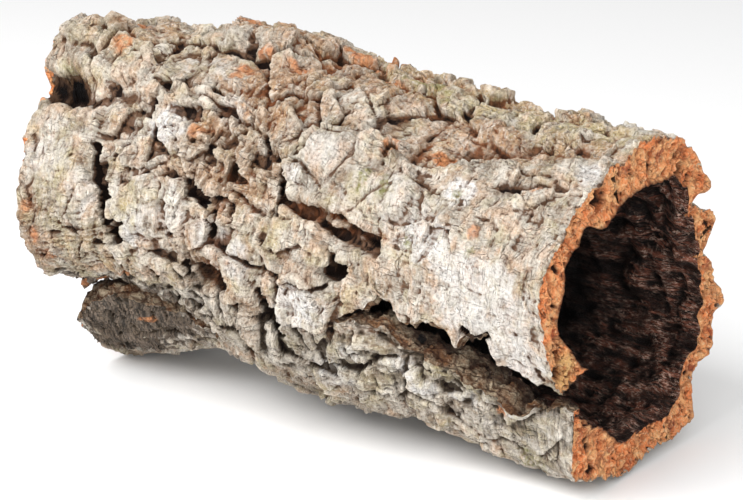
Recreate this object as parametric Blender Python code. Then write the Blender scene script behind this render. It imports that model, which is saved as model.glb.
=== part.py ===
"""A length of cork branch: one piece of virgin cork bark, rolled in a tube as it came off the branch.

+X runs along the tube to its sawn near mouth, -Y is the front, +Z is up and the tube rests on z = 0.
Metres and degrees. An angle in a section is 0 at the back (+Y), 90 at the top and 180 at the front.
The bark is one sheet. It starts at the flap's edge low on the front, goes up over the front, the top and
the back, and ends at the lip's edge, which lies below the flap's with a long slit between them.
"""
import bmesh
import bpy
import numpy as np

LENGTH = 0.280
HALF = LENGTH / 2
MEAN_RADIUS = 0.076

# Height of the tube's centre line at stations along it: the branch was a little bowed.
CENTRE_LINE = {-0.14: 0.081, -0.10: 0.086, -0.06: 0.091, 0.0: 0.083, 0.06: 0.076, 0.10: 0.0725, 0.14: 0.0705}

# Outer radius by station, at twelve angles round the tube: 0, 30, 60 and so on.
RING_STEP = 30
RADII = {
    -0.14: (0.076, 0.077, 0.077, 0.081, 0.095, 0.086, 0.078, 0.071, 0.078, 0.084, 0.080, 0.078),
    -0.07: (0.077, 0.077, 0.077, 0.080, 0.082, 0.080, 0.078, 0.073, 0.075, 0.077, 0.077, 0.077),
    0.00: (0.078, 0.076, 0.075, 0.077, 0.079, 0.079, 0.079, 0.080, 0.079, 0.077, 0.076, 0.077),
    0.07: (0.073, 0.074, 0.074, 0.074, 0.076, 0.077, 0.075, 0.071, 0.073, 0.075, 0.076, 0.076),
    0.14: (0.072, 0.073, 0.078, 0.077, 0.077, 0.080, 0.075, 0.069, 0.074, 0.071, 0.076, 0.077),
}

# The slit: angle of the flap's edge along the tube, and how wide the slit is below it. It is shut where the
# two edges have grown together in the middle.
FLAP_EDGE = {
    -0.14: 226, -0.12: 212, -0.10: 208, -0.08: 212, -0.06: 217, -0.03: 215, -0.01: 208,
    0.01: 197, 0.03: 190, 0.045: 182, 0.06: 176, 0.08: 177.5, 0.10: 179, 0.11: 179.5, 0.119: 186.5, 0.14: 196,
}
SLIT_WIDTH = {
    -0.14: 5, -0.10: 4, -0.06: 4, -0.048: 6, -0.035: 0, 0.035: 0, 0.05: 8, 0.065: 19, 0.08: 22, 0.10: 26,
    0.11: 27, 0.119: 22, 0.14: 12,
}
SHUT_BELOW = 0.3
RAGGED_LENGTH = 0.010
RAGGED_EDGE = 2.5       # degrees by which the slit wanders
LIP_LEAN = 8            # the lip's torn edge leans in under the flap by this angle where the slit is widest
WIDE_SLIT = 22
LEAN_ENDS = (0.10, 0.13)

# How far the sheet bends in towards the flap's edge and towards the lip's edge.
FLAP_BEND = {-0.14: 0.017, -0.10: 0.009, -0.06: 0.002, -0.035: 0, 0.035: 0, 0.07: 0.002, 0.14: 0.008}
LIP_BEND = {-0.14: 0.002, -0.06: 0.001, -0.035: 0, 0.035: 0, 0.055: 0.003, 0.08: 0.005, 0.14: 0.009}
BEND_WIDTH = 32

# Outline of the near mouth: radius by angle, from the lip's corner (-152) round the bottom, back, top and
# front to the flap's corner (196). The tube takes this outline over its last stretch.
RIM_LENGTH = 0.028
MOUTH_EDGE = {
    -160: 0.0560, -150: 0.0590, -142: 0.0650, -131: 0.0745, -122: 0.0720, -113: 0.0695, -97: 0.0698,
    -90: 0.0675, -78: 0.0658, -70: 0.0680, -62: 0.0740, -55: 0.0770, -49: 0.0795, -44: 0.0695,
    -38: 0.0652, -33: 0.0660, -27: 0.0742, -23: 0.0744, -17: 0.0695, -14: 0.0700, -9: 0.0765,
    -5: 0.0725, 1: 0.0668, 5: 0.0672, 10: 0.0635, 15: 0.0585, 19: 0.0650, 23: 0.0714, 27: 0.0697,
    32: 0.0653, 36: 0.0612, 44: 0.0603, 47: 0.0655, 50: 0.0727, 52: 0.0752, 54: 0.0745, 60: 0.0765,
    71: 0.0771, 78: 0.0784, 86: 0.0779, 93: 0.0765, 101: 0.0748, 111: 0.0760, 119: 0.0769, 126: 0.0787,
    137: 0.0800, 143: 0.0811, 150: 0.0840, 157: 0.0857, 162: 0.0830, 168: 0.0788, 175: 0.0746,
    182: 0.0702, 190: 0.0670, 196: 0.0617, 205: 0.0580,
}
# One lobe of the rim hangs over the notch beside it: by angle, how far its crust is turned down.
LOBE_LEAN = {36: 0, 44: 1, 47: 6, 50: 14, 52: 14.5, 54: 11, 60: 3, 68: 0}
CALM_RIM = 0.8          # how much of the relief fades out at the rim

# Thickness of the bark: even along the tube, and uneven round the near mouth's rim.
WALL = 0.0135
LEAST_WALL = 0.005
RIM_START = 0.07
RIM_WALL = {
    -160: 0.004, -152: 0.004, -147: 0.006, -142: 0.0123, -131: 0.0235, -122: 0.022, -110: 0.0175,
    -98: 0.0166, -90: 0.015, -78: 0.0125, -70: 0.012, -62: 0.015, -55: 0.018, -48: 0.020, -43: 0.0145,
    -38: 0.012, -30: 0.013, -25: 0.016, -19: 0.013, -9: 0.0185, -5: 0.0168, 1: 0.013, 10: 0.011,
    15: 0.005, 19: 0.010, 24: 0.0185, 29: 0.015, 33: 0.0095, 37: 0.005, 44: 0.004, 47: 0.007,
    50: 0.0120, 54: 0.0140, 64: 0.0147, 70: 0.0173, 76: 0.0205, 86: 0.0210, 92: 0.0203, 105: 0.020,
    119: 0.0217, 126: 0.019, 131: 0.012, 138: 0.013, 147: 0.0115, 157: 0.019, 167: 0.0135, 177: 0.0165,
    182: 0.019, 190: 0.0195, 198: 0.020, 205: 0.020,
}

# Broad swells and hollows: station, angle, half-length, half-width in degrees, height.
LOBES = (
    (-0.128, 120, 0.060, 19, 0.009),     # shoulder at the far top
    (-0.126, 134, 0.022, 8, -0.013),     # hollow under that shoulder
    (0.139, 118, 0.010, 5, -0.009),      # hole where the front of the rim meets its top
    (0.030, -112, 0.060, 40, -0.0040),   # the underside rises along the middle
    (-0.030, 20, 0.070, 30, 0.004),      # low swell along the back
    (0.060, -40, 0.060, 24, 0.003),      # and one below it
    (0.102, 66, 0.030, 16, 0.003),       # low swell at the top by the mouth
)

# Raised plates of crust: station, angle, half-length, half-width in degrees, height, softness of the rim.
PLATES = (
    (-0.122, 172, 0.023, 34, 0.0035, 0.14),     # front plate by the far end
    (-0.067, 172, 0.023, 30, 0.0030, 0.16),     # front plate beside it, past the long fissure
    (-0.088, 128, 0.013, 8, 0.0050, 0.5),       # rounded block at the top left
    (-0.058, 133, 0.021, 4.5, 0.0060, 0.7),     # rolled flake lying along the bark
    (0.033, 140, 0.029, 17, 0.0045, 0.16),      # broad plate in the middle
    (0.108, 168, 0.038, 30, 0.0025, 0.2),       # smooth pale plate by the mouth
    (-0.012, 186, 0.008, 26, 0.0040, 0.5),      # column down to the flap's edge
    (0.014, 168, 0.024, 9, 0.0025, 0.2),        # grey plate with the knot hole
    (0.022, 184, 0.013, 8, 0.0040, 0.25),       # pale flake that points down
    (0.060, 72, 0.045, 12, 0.0040, 0.25),       # ridge along the top
    (-0.040, 100, 0.026, 10, 0.0035, 0.3),      # lumps on the crest
    (0.114, -151, 0.007, 5, 0.0070, 0.6),       # knob on the lower bark
    (0.134, 115, 0.007, 5, 0.0050, 0.6),        # pale lump by the mouth
    (0.128, 79, 0.011, 7, 0.0050, 0.6),         # lump on the mouth's top rim
    (-0.085, 45, 0.030, 18, 0.0035, 0.2),       # plates on the back, in two rows
    (-0.015, 30, 0.032, 20, 0.0030, 0.2),
    (0.065, 22, 0.034, 18, 0.0035, 0.2),
    (-0.100, -20, 0.028, 22, 0.0035, 0.2),
    (-0.030, -25, 0.034, 20, 0.0030, 0.2),
    (0.048, -30, 0.030, 22, 0.0035, 0.2),
    (0.112, -20, 0.024, 20, 0.0030, 0.2),
)
PLATE_POWER = 2.6       # 2 would make an oval plate, and a large number a square one

# Furrows: half-width, depth, and the points (station, angle) that each runs through.
FURROWS = (
    (0.0030, 0.008, ((-0.097, 158), (-0.093, 166), (-0.091, 174), (-0.086, 182))),     # long fissure in front
    (0.0055, 0.006, ((-0.138, 134), (-0.124, 136), (-0.114, 139))),     # crease under the shoulder
    (0.0045, 0.006, ((0.002, 146), (0.007, 154), (0.028, 157), (0.052, 159))),     # under the broad plate
    (0.0080, 0.006, ((0.072, 118), (0.092, 107), (0.112, 107), (0.132, 100))),     # along the top
    (0.0030, 0.005, ((0.100, 128), (0.118, 125), (0.132, 121))),     # above the pale plate
    (0.0060, 0.006, ((-0.130, 14), (-0.060, 6), (0.010, -2), (0.120, 3))),     # long furrow on the back
    (0.0050, 0.005, ((-0.120, -58), (-0.050, -55), (0.030, -62), (0.110, -56))),     # and one below it
)
FURROW_SHARPNESS = 1.2

# Pits: station, angle, radius, depth.
PITS = (
    (-0.085, 182, 0.0055, 0.009),      # at the fissure's lower end
    (0.036, 170, 0.0050, 0.010),       # knot hole
    (-0.032, 189, 0.0100, 0.009),      # hollow beside the column
    (-0.018, 196, 0.0060, 0.007),
    (-0.023, 153, 0.0060, 0.007),      # the crumbled middle
    (-0.012, 146, 0.0060, 0.006),
    (-0.038, 140, 0.0070, 0.005),
    (0.096, 102, 0.0060, 0.005),       # in the top furrow
)

# Random relief: cell size, height and number of cells round the tube, and the like for the swell.
BLOCK_LENGTH, BLOCKS_ROUND, BLOCK_HEIGHT, CRACK_DEPTH = 0.027, 20, 0.0045, 0.0035
SWELLS = ((0.048, 10, 0.0030, 41), (0.020, 24, 0.0018, 43))     # length, number round, height, seed
WARP_LENGTH, WARPS_ROUND, WARP = 0.016, 30, 0.005
SINK = 0.0012           # takes back what the plates add to the mean radius

# Where the crust is more broken or smoother than elsewhere: station, angle, half-length, half-width, change.
USUAL_ROUGHNESS = 0.45
ROUGH_PLACES = (
    (-0.045, 150, 0.09, 75, 0.9),
    (0.0, 85, 0.22, 50, 0.7),
    (0.02, 210, 0.10, 45, 0.4),
    (-0.13, 110, 0.07, 50, 0.5),
    (0.0, -10, 0.25, 80, 0.35),
    (0.10, 160, 0.06, 45, -0.25),
)

ROWS_ALONG, ROWS_ROUND, ROWS_THROUGH = 112, 172, 4
KEPT_SHARE = 0.118      # of the faces, after the even grid is thinned where the bark is flat


def ramp(v):
    """0 below 0, 1 above 1, and an S curve between."""
    v = np.clip(v, 0, 1)
    return v * v * (3 - 2 * v)


def through(places, values, at):
    """A smooth curve through values at places (cubic Hermite), level past the ends."""
    places, values = np.asarray(places, float), np.asarray(values, float)
    at = np.clip(at, places[0], places[-1])
    k = np.clip(np.searchsorted(places, at) - 1, 0, len(places) - 2)
    slope = np.gradient(values, places)
    span = places[k + 1] - places[k]
    t = (at - places[k]) / span
    start = (2 * t**3 - 3 * t**2 + 1) * values[k] + (t**3 - 2 * t**2 + t) * span * slope[k]
    return start + (3 * t**2 - 2 * t**3) * values[k + 1] + (t**3 - t**2) * span * slope[k + 1]


def along(table, at):
    return through(list(table), list(table.values()), at)


def scatter(i, j, seed):
    """A fixed random number from 0 to 1 for each pair of whole numbers."""
    n = (i.astype(np.int64) * 374761393 + j.astype(np.int64) * 668265263 + seed * 2246822519) & 0xFFFFFFFF
    n = ((n ^ (n >> 15)) * 2246822519) & 0xFFFFFFFF
    n = ((n ^ (n >> 13)) * 3266489917) & 0xFFFFFFFF
    return ((n ^ (n >> 16)) & 0xFFFFFF) / float(1 << 24)


def swell(p, q, seed, count):
    """Gradient noise, about -1 to 1, that meets itself after count steps of q."""
    i, j = np.floor(p), np.floor(q)
    f, g = p - i, q - j
    u, v = f**3 * (f * (f * 6 - 15) + 10), g**3 * (g * (g * 6 - 15) + 10)

    def corner(di, dj):
        slope = 2 * np.pi * scatter(i + di, np.mod(j + dj, count), seed)
        return np.cos(slope) * (f - di) + np.sin(slope) * (g - dj)

    low = corner(0, 0) * (1 - u) + corner(1, 0) * u
    high = corner(0, 1) * (1 - u) + corner(1, 1) * u
    return (low * (1 - v) + high * v) * 1.5


def cells(p, q, seed, count):
    """Random cells: how far a point is from its cell's border, and the cell's own number from 0 to 1."""
    i, j = np.floor(p), np.floor(q)
    first, second, name = np.full(p.shape, 9.0), np.full(p.shape, 9.0), np.zeros(p.shape)
    for di in (-1, 0, 1):
        for dj in (-1, 0, 1):
            column, row = i + di, np.mod(j + dj, count)
            middle_p = i + di + 0.5 + 0.85 * (scatter(column, row, seed) - 0.5)
            middle_q = j + dj + 0.5 + 0.85 * (scatter(column, row, seed + 1) - 0.5)
            d = np.hypot(p - middle_p, q - middle_q)
            near = d < first
            second = np.where(near, first, np.minimum(second, d))
            name = np.where(near, scatter(column, row, seed + 2), name)
            first = np.where(near, d, first)
    return second - first, name


def turned(angle, place):
    """Degrees from a place round the tube, -180 to 180."""
    return np.mod(angle - place + 180, 360) - 180


def swelling(x, angle, place):
    """1 at a place (station, angle, half-length, half-width), falling smoothly to 0 at its edge."""
    station, middle, length, width = place
    d = np.hypot((x - station) / length, turned(angle, middle) / width)
    return ramp(1 - d)


def from_path(x, angle, points):
    """Distance to a path of (station, angle) points, measured on the crust."""
    arc = MEAN_RADIUS * np.pi / 180
    nearest = np.full(x.shape, LENGTH)
    for (x0, a0), (x1, a1) in zip(points, points[1:]):
        dx, da = x1 - x0, (a1 - a0) * arc
        px, pa = x - x0, turned(angle, a0) * arc
        share = np.clip((px * dx + pa * da) / (dx * dx + da * da), 0, 1)
        nearest = np.minimum(nearest, np.hypot(px - share * dx, pa - share * da))
    return nearest


def base_radius(x, angle):
    """Outer radius before relief: a smooth curve round each station, blended from station to station."""
    stations = np.array(list(RADII))
    places = np.arange(-2 * RING_STEP, 360 + 3 * RING_STEP, RING_STEP)
    rings = np.array([through(places, r[-2:] + r + r[:3], np.mod(angle, 360)) for r in RADII.values()])
    k = np.clip(np.searchsorted(stations, x) - 1, 0, len(stations) - 2)
    share = ramp((x - stations[k]) / (stations[k + 1] - stations[k]))
    low = np.take_along_axis(rings, k[None], 0)[0]
    high = np.take_along_axis(rings, k[None] + 1, 0)[0]
    return low + (high - low) * share


def named_forms(x, angle, shift, twist):
    """Height of the plates, furrows and pits listed above, their edges bent by shift and twist."""
    height = np.zeros(x.shape)
    for station, middle, length, width, rise, softness in PLATES:
        across = np.abs((x + shift - station) / length) ** PLATE_POWER
        around = np.abs(turned(angle + twist, middle) / width) ** PLATE_POWER
        height += rise * ramp((1.12 - (across + around) ** (1 / PLATE_POWER)) / softness)
    x, angle = x + shift / 2, angle + twist / 2
    for half_width, depth, points in FURROWS:
        share = from_path(x, angle, points) / half_width
        height -= depth * np.exp(-FURROW_SHARPNESS * share**2)
    for station, middle, radius, depth in PITS:
        share = from_path(x, angle, ((station, middle), (station + 1e-6, middle))) / radius
        height -= depth * ramp((1.25 - share) / 0.8)
    return height


def crust_height(x, angle):
    """Height of the crust over the base tube: named forms, random blocks with cracks between, and swells."""
    turn = np.mod(angle + 180, 360) / 360
    rough = USUAL_ROUGHNESS + sum(p[4] * swelling(x, angle, p[:4]) for p in ROUGH_PLACES)
    rough = np.clip(rough, 0.15, 1.6)
    shift = WARP * swell(x / WARP_LENGTH, turn * WARPS_ROUND, 5, WARPS_ROUND)
    twist = WARP * swell(x / WARP_LENGTH, turn * WARPS_ROUND, 9, WARPS_ROUND)
    bent_turn = turn + twist / (2 * np.pi * MEAN_RADIUS)
    border, name = cells((x + shift) / BLOCK_LENGTH, bent_turn * BLOCKS_ROUND, 21, BLOCKS_ROUND)
    blocks = (name - 0.5) * BLOCK_HEIGHT * np.clip(border / 0.12, 0, 1)
    cracks = CRACK_DEPTH * np.exp(-((border / 0.10) ** 2))
    height = rough * (blocks - cracks)
    for length, count, rise, seed in SWELLS:
        height += rise * swell(x / length, turn * count, seed, count) * (0.4 + 0.5 * rough)
    height += named_forms(x, angle, shift, np.degrees(twist / MEAN_RADIUS))
    for place in LOBES:
        height += place[4] * swelling(x, angle, place[:4])
    return height - SINK


def wall(x, angle):
    """Thickness of the bark, which turns uneven towards the near mouth."""
    near = np.clip((x - RIM_START) / (HALF - RIM_START), 0, 1) ** 1.5
    return WALL + (along(RIM_WALL, angle) - WALL) * near


def slit_width(x):
    """Degrees between the flap's edge and the lip's, and 0 where the slit is shut."""
    width = along(SLIT_WIDTH, x)
    return np.where(width > SHUT_BELOW, width, 0)


def bend_in(table, x, degrees_from_edge):
    """How far the sheet bends in near one edge of the slit."""
    return np.maximum(along(table, x), 0) * ramp(1 - degrees_from_edge / BEND_WIDTH)


def bark_point(x, v, t):
    """A point of the bark: station x, share v from the flap's edge to the lip's, and t from belly to crust."""
    start = along(FLAP_EDGE, x) + RAGGED_EDGE * swell(x / RAGGED_LENGTH, x * 0 + 0.5, 71, 1)
    width = slit_width(x)
    lean_in = LIP_LEAN * np.clip(width / WIDE_SLIT, 0, 1) * (1 - t)
    lean_in = lean_in * ramp((LEAN_ENDS[1] - x) / (LEAN_ENDS[1] - LEAN_ENDS[0]))
    sweep = 360 - width + lean_in
    angle = start - sweep * v
    base = base_radius(x, angle) - bend_in(FLAP_BEND, x, sweep * v) - bend_in(LIP_BEND, x, sweep * (1 - v))
    rim = ramp((x - HALF + RIM_LENGTH) / RIM_LENGTH)
    base = base + (along(MOUTH_EDGE, angle) - base) * rim
    outer = base + crust_height(x, angle) * (1 - CALM_RIM * rim)
    inner = np.minimum(base - wall(x, angle), outer - LEAST_WALL)
    radius = inner + (outer - inner) * t
    turn = np.radians(angle - along(LOBE_LEAN, angle) * rim * t)
    return np.stack([x, radius * np.cos(turn), along(CENTRE_LINE, x) + radius * np.sin(turn)], -1)


def side(bm, first, second, flip, point, wanted=None):
    """One side of the sheet as a grid of faces: point(a, b) for every pair of the two ranges."""
    a, b = np.meshgrid(first, second, indexing="ij")
    spots = point(a, b)
    verts = [[bm.verts.new(spot) for spot in row] for row in spots]
    for n, (row, next_row) in enumerate(zip(verts, verts[1:])):
        if wanted is not None and not wanted[n : n + 2].any():
            continue
        for k in range(len(row) - 1):
            loop = (row[k], next_row[k], next_row[k + 1], row[k + 1])
            bm.faces.new(reversed(loop) if flip else loop)


def bark_mesh():
    """The closed sheet: crust and belly, the two sawn ends, and the slit's two edges where it is open."""
    xs = np.linspace(-HALF, HALF, ROWS_ALONG + 1)
    vs = np.linspace(0, 1, ROWS_ROUND + 1)
    ts = np.linspace(0, 1, ROWS_THROUGH + 1)
    bm = bmesh.new()
    for t in (1.0, 0.0):
        side(bm, xs, vs, t == 0.0, lambda x, v: bark_point(x, v, np.full(x.shape, t)))
    for x in (HALF, -HALF):
        side(bm, vs, ts, x < 0, lambda v, t: bark_point(np.full(v.shape, x), v, t))
    is_open = slit_width(xs) > 0
    for v in (0.0, 1.0):
        side(bm, xs, ts, v == 1.0, lambda x, t: bark_point(x, np.full(x.shape, v), t), is_open)
    bmesh.ops.remove_doubles(bm, verts=bm.verts, dist=1e-6)
    loose = [v for v in bm.verts if not v.link_faces]
    bmesh.ops.delete(bm, geom=loose, context="VERTS")
    mesh = bpy.data.meshes.new("cork_bark")
    bm.to_mesh(mesh)
    bm.free()
    return mesh


def cork():
    """Weathered cork: grey, matt."""
    finish = bpy.data.materials.new("weathered_cork")
    finish.use_nodes = True
    shader = finish.node_tree.nodes["Principled BSDF"]
    shader.inputs["Base Color"].default_value = (0.47, 0.41, 0.34, 1)
    shader.inputs["Roughness"].default_value = 0.9
    shader.inputs["Metallic"].default_value = 0.0
    return finish


def floor_cutter(collection):
    """A block whose top is the plane the tube stands on."""
    height = 0.04
    bpy.ops.mesh.primitive_cube_add(size=1, location=(0, 0, -height / 2))
    block = bpy.context.object
    block.name = "floor_block"
    block.scale = (2 * LENGTH, LENGTH, height)
    block.hide_render = True
    block.display_type = "WIRE"
    for owner in list(block.users_collection):
        owner.objects.unlink(block)
    collection.objects.link(block)
    return block


def cork_bark(collection, cutters):
    """The bark, thinned where it is flat and cut level where it rests."""
    bark = bpy.data.objects.new("cork_bark", bark_mesh())
    bark.data.materials.append(cork())
    collection.objects.link(bark)
    thinner = bark.modifiers.new("fewer_faces", "DECIMATE")
    thinner.decimate_type = "COLLAPSE"
    thinner.ratio = KEPT_SHARE
    level = bark.modifiers.new("level_feet", "BOOLEAN")
    level.operation = "DIFFERENCE"
    level.solver = "EXACT"
    level.object = floor_cutter(cutters)
    return bark


def main():
    for thing in list(bpy.data.objects):
        bpy.data.objects.remove(thing)
    parts = bpy.data.collections.new("cork_branch")
    cutters = bpy.data.collections.new("cutters")
    for group in (parts, cutters):
        bpy.context.scene.collection.children.link(group)
    cork_bark(parts, cutters)


main()
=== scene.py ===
"""The looks of a length of cork branch: one piece of virgin cork bark, rolled in a tube as it came off the branch.

Metres and degrees, in the solid's own frame: +X runs along the tube to its sawn near mouth, -Y is the front,
+Z is up. An angle in a section is 0 at the back, 90 at the top and 180 at the front. The bark is one sheet. Its
share v is 0 at the flap's edge low on the front and 1 at the lip's edge below it, and t is 0 on the belly and 1
on the crust.
"""

import bpy
import numpy as np
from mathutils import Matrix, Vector


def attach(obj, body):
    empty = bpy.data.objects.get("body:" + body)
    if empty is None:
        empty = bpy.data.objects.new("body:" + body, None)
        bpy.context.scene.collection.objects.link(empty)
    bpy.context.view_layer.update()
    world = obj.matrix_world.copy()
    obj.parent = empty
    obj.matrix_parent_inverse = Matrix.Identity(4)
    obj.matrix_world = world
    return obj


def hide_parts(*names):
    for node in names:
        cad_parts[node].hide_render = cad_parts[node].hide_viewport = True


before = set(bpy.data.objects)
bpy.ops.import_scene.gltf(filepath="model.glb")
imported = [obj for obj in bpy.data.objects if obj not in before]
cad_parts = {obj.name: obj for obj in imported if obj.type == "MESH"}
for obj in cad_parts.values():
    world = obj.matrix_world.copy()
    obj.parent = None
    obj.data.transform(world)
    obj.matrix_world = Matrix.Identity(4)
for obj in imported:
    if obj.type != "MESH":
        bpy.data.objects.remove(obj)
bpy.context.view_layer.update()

MM = 0.001
LENGTH = 0.280
HALF = LENGTH / 2
MEAN_RADIUS = 0.076
ROUND = 2 * np.pi * MEAN_RADIUS
MIN_ROUND = ROUND / 360     # a degree of the crust

# Height of the tube's centre line at stations along it.
CENTRE_LINE = {-0.14: 0.081, -0.10: 0.086, -0.06: 0.091, 0.0: 0.083, 0.06: 0.076, 0.10: 0.0725, 0.14: 0.0705}

# Outer radius by station, at twelve angles round the tube: 0, 30, 60 and so on.
RING_STEP = 30
RADII = {
    -0.14: (0.076, 0.077, 0.077, 0.081, 0.095, 0.086, 0.078, 0.071, 0.078, 0.084, 0.080, 0.078),
    -0.07: (0.077, 0.077, 0.077, 0.080, 0.082, 0.080, 0.078, 0.073, 0.075, 0.077, 0.077, 0.077),
    0.00: (0.078, 0.076, 0.075, 0.077, 0.079, 0.079, 0.079, 0.080, 0.079, 0.077, 0.076, 0.077),
    0.07: (0.073, 0.074, 0.074, 0.074, 0.076, 0.077, 0.075, 0.071, 0.073, 0.075, 0.076, 0.076),
    0.14: (0.072, 0.073, 0.078, 0.077, 0.077, 0.080, 0.075, 0.069, 0.074, 0.071, 0.076, 0.077),
}

# The slit: angle of the flap's edge, width of the slit below it, and the same edges' raggedness.
FLAP_EDGE = {
    -0.14: 226, -0.12: 212, -0.10: 208, -0.08: 212, -0.06: 217, -0.03: 215, -0.01: 208,
    0.01: 197, 0.03: 190, 0.045: 182, 0.06: 176, 0.08: 177.5, 0.10: 179, 0.11: 179.5, 0.119: 186.5, 0.14: 196,
}
SLIT_WIDTH = {
    -0.14: 5, -0.10: 4, -0.06: 4, -0.048: 6, -0.035: 0, 0.035: 0, 0.05: 8, 0.065: 19, 0.08: 22, 0.10: 26,
    0.11: 27, 0.119: 22, 0.14: 12,
}
SHUT_BELOW = 0.3
RAGGED_LENGTH = 0.010
RAGGED_EDGE = 2.5
FINE_TEETH = ((0.0045, 1.6, 73), (0.0019, 0.8, 74))     # length, degrees, seed
TEETH_REACH = 5         # degrees over which the raggedness fades into the sheet
# How far the flap's own teeth and gaps reach below its edge, in degrees, by station.
FLAP_TEETH = {
    -0.14: 0, 0.056: 0, 0.0625: 0, 0.0655: 5, 0.072: 4.5, 0.080: 0.5, 0.088: 0, 0.0930: 1.5, 0.0955: 5.5,
    0.0985: 1, 0.105: -1.5, 0.110: -1.5, 0.1125: 0.5, 0.118: 0, 0.124: -3, 0.131: -2, 0.136: 0, 0.14: 0,
}
LIP_LEAN = 8
WIDE_SLIT = 22
LEAN_ENDS = (0.10, 0.13)
FLAP_BEND = {-0.14: 0.017, -0.10: 0.009, -0.06: 0.002, -0.035: 0, 0.035: 0, 0.07: 0.002, 0.14: 0.008}
LIP_BEND = {-0.14: 0.002, -0.06: 0.001, -0.035: 0, 0.035: 0, 0.055: 0.003, 0.08: 0.005, 0.14: 0.009}
BEND_WIDTH = 32

# Outline of the near mouth: outer radius by angle, and the thickness of the bark there.
RIM_LENGTH = 0.028
MOUTH_EDGE = {
    -160: 0.0560, -150: 0.0590, -142: 0.0650, -131: 0.0745, -122: 0.0720, -113: 0.0695, -97: 0.0698,
    -90: 0.0675, -78: 0.0658, -70: 0.0680, -62: 0.0740, -55: 0.0770, -49: 0.0795, -44: 0.0695,
    -38: 0.0652, -33: 0.0660, -27: 0.0742, -23: 0.0744, -17: 0.0695, -14: 0.0700, -9: 0.0765,
    -5: 0.0725, 1: 0.0668, 5: 0.0672, 10: 0.0635, 15: 0.0585, 19: 0.0650, 23: 0.0714, 27: 0.0697,
    32: 0.0653, 36: 0.0612, 44: 0.0603, 47: 0.0655, 50: 0.0727, 52: 0.0752, 54: 0.0745, 60: 0.0765,
    71: 0.0771, 78: 0.0784, 86: 0.0779, 93: 0.0765, 101: 0.0748, 111: 0.0760, 119: 0.0769, 126: 0.0787,
    137: 0.0800, 143: 0.0811, 150: 0.0840, 157: 0.0857, 162: 0.0830, 168: 0.0788, 175: 0.0746,
    182: 0.0702, 190: 0.0670, 196: 0.0617, 205: 0.0580,
}
# One lobe of the rim hangs over the notch beside it: by angle, how far its crust is turned down.
LOBE_LEAN = {36: 0, 44: 1, 47: 6, 50: 14, 52: 14.5, 54: 11, 60: 3, 68: 0}
CALM_RIM = 0.8
WALL = 0.0135
LEAST_WALL = 0.005
RIM_START = 0.07
RIM_WALL = {
    -160: 0.004, -152: 0.004, -147: 0.006, -142: 0.0123, -131: 0.0235, -122: 0.022, -110: 0.0175,
    -98: 0.0166, -90: 0.015, -78: 0.0125, -70: 0.012, -62: 0.015, -55: 0.018, -48: 0.020, -43: 0.0145,
    -38: 0.012, -30: 0.013, -25: 0.016, -19: 0.013, -9: 0.0185, -5: 0.0168, 1: 0.013, 10: 0.011,
    15: 0.005, 19: 0.010, 24: 0.0185, 29: 0.015, 33: 0.0095, 37: 0.005, 44: 0.004, 47: 0.007,
    50: 0.0120, 54: 0.0140, 64: 0.0147, 70: 0.0173, 76: 0.0205, 86: 0.0210, 92: 0.0203, 105: 0.020,
    119: 0.0217, 126: 0.019, 131: 0.012, 138: 0.013, 147: 0.0115, 157: 0.019, 167: 0.0135, 177: 0.0165,
    182: 0.019, 190: 0.0195, 198: 0.020, 205: 0.020,
}

# Broad swells and hollows: station, angle, half-length, half-width in degrees, height.
LOBES = (
    (-0.128, 120, 0.060, 19, 0.009),     # shoulder at the far top
    (-0.126, 134, 0.022, 8, -0.013),     # hollow under that shoulder
    (0.139, 118, 0.010, 5, -0.009),      # hole where the front of the rim meets its top
    (0.030, -112, 0.060, 40, -0.0040),   # the underside rises along the middle
    (-0.030, 20, 0.070, 30, 0.004),      # low swell along the back
    (0.060, -40, 0.060, 24, 0.003),      # and one below it
    (0.102, 66, 0.030, 16, 0.003),       # low swell at the top by the mouth
)

# Raised plates of crust: station, angle, half-length, half-width in degrees, height, softness of the rim.
PLATES = (
    (-0.122, 172, 0.023, 34, 0.0035, 0.14),     # front plate by the far end
    (-0.067, 172, 0.023, 30, 0.0030, 0.16),     # front plate beside it, past the long fissure
    (-0.088, 128, 0.013, 8, 0.0050, 0.5),       # rounded block at the top left
    (-0.058, 133, 0.021, 4.5, 0.0060, 0.7),     # rolled flake lying along the bark
    (0.033, 140, 0.029, 17, 0.0045, 0.16),      # broad plate in the middle
    (0.108, 168, 0.038, 30, 0.0025, 0.2),       # smooth pale plate by the mouth
    (-0.012, 186, 0.008, 26, 0.0040, 0.5),      # column down to the flap's edge
    (0.014, 168, 0.024, 9, 0.0025, 0.2),        # grey plate with the knot hole
    (0.022, 184, 0.013, 8, 0.0040, 0.25),       # pale flake that points down
    (0.060, 72, 0.045, 12, 0.0040, 0.25),       # ridge along the top
    (-0.040, 100, 0.026, 10, 0.0035, 0.3),      # lumps on the crest
    (0.114, -151, 0.007, 5, 0.0070, 0.6),       # knob on the lower bark
    (0.134, 115, 0.007, 5, 0.0050, 0.6),        # pale lump by the mouth
    (0.128, 79, 0.011, 7, 0.0050, 0.6),         # lump on the mouth's top rim
    (-0.085, 45, 0.030, 18, 0.0035, 0.2),       # plates on the back, in two rows
    (-0.015, 30, 0.032, 20, 0.0030, 0.2),
    (0.065, 22, 0.034, 18, 0.0035, 0.2),
    (-0.100, -20, 0.028, 22, 0.0035, 0.2),
    (-0.030, -25, 0.034, 20, 0.0030, 0.2),
    (0.048, -30, 0.030, 22, 0.0035, 0.2),
    (0.112, -20, 0.024, 20, 0.0030, 0.2),
)
PLATE_POWER = 2.6

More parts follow.
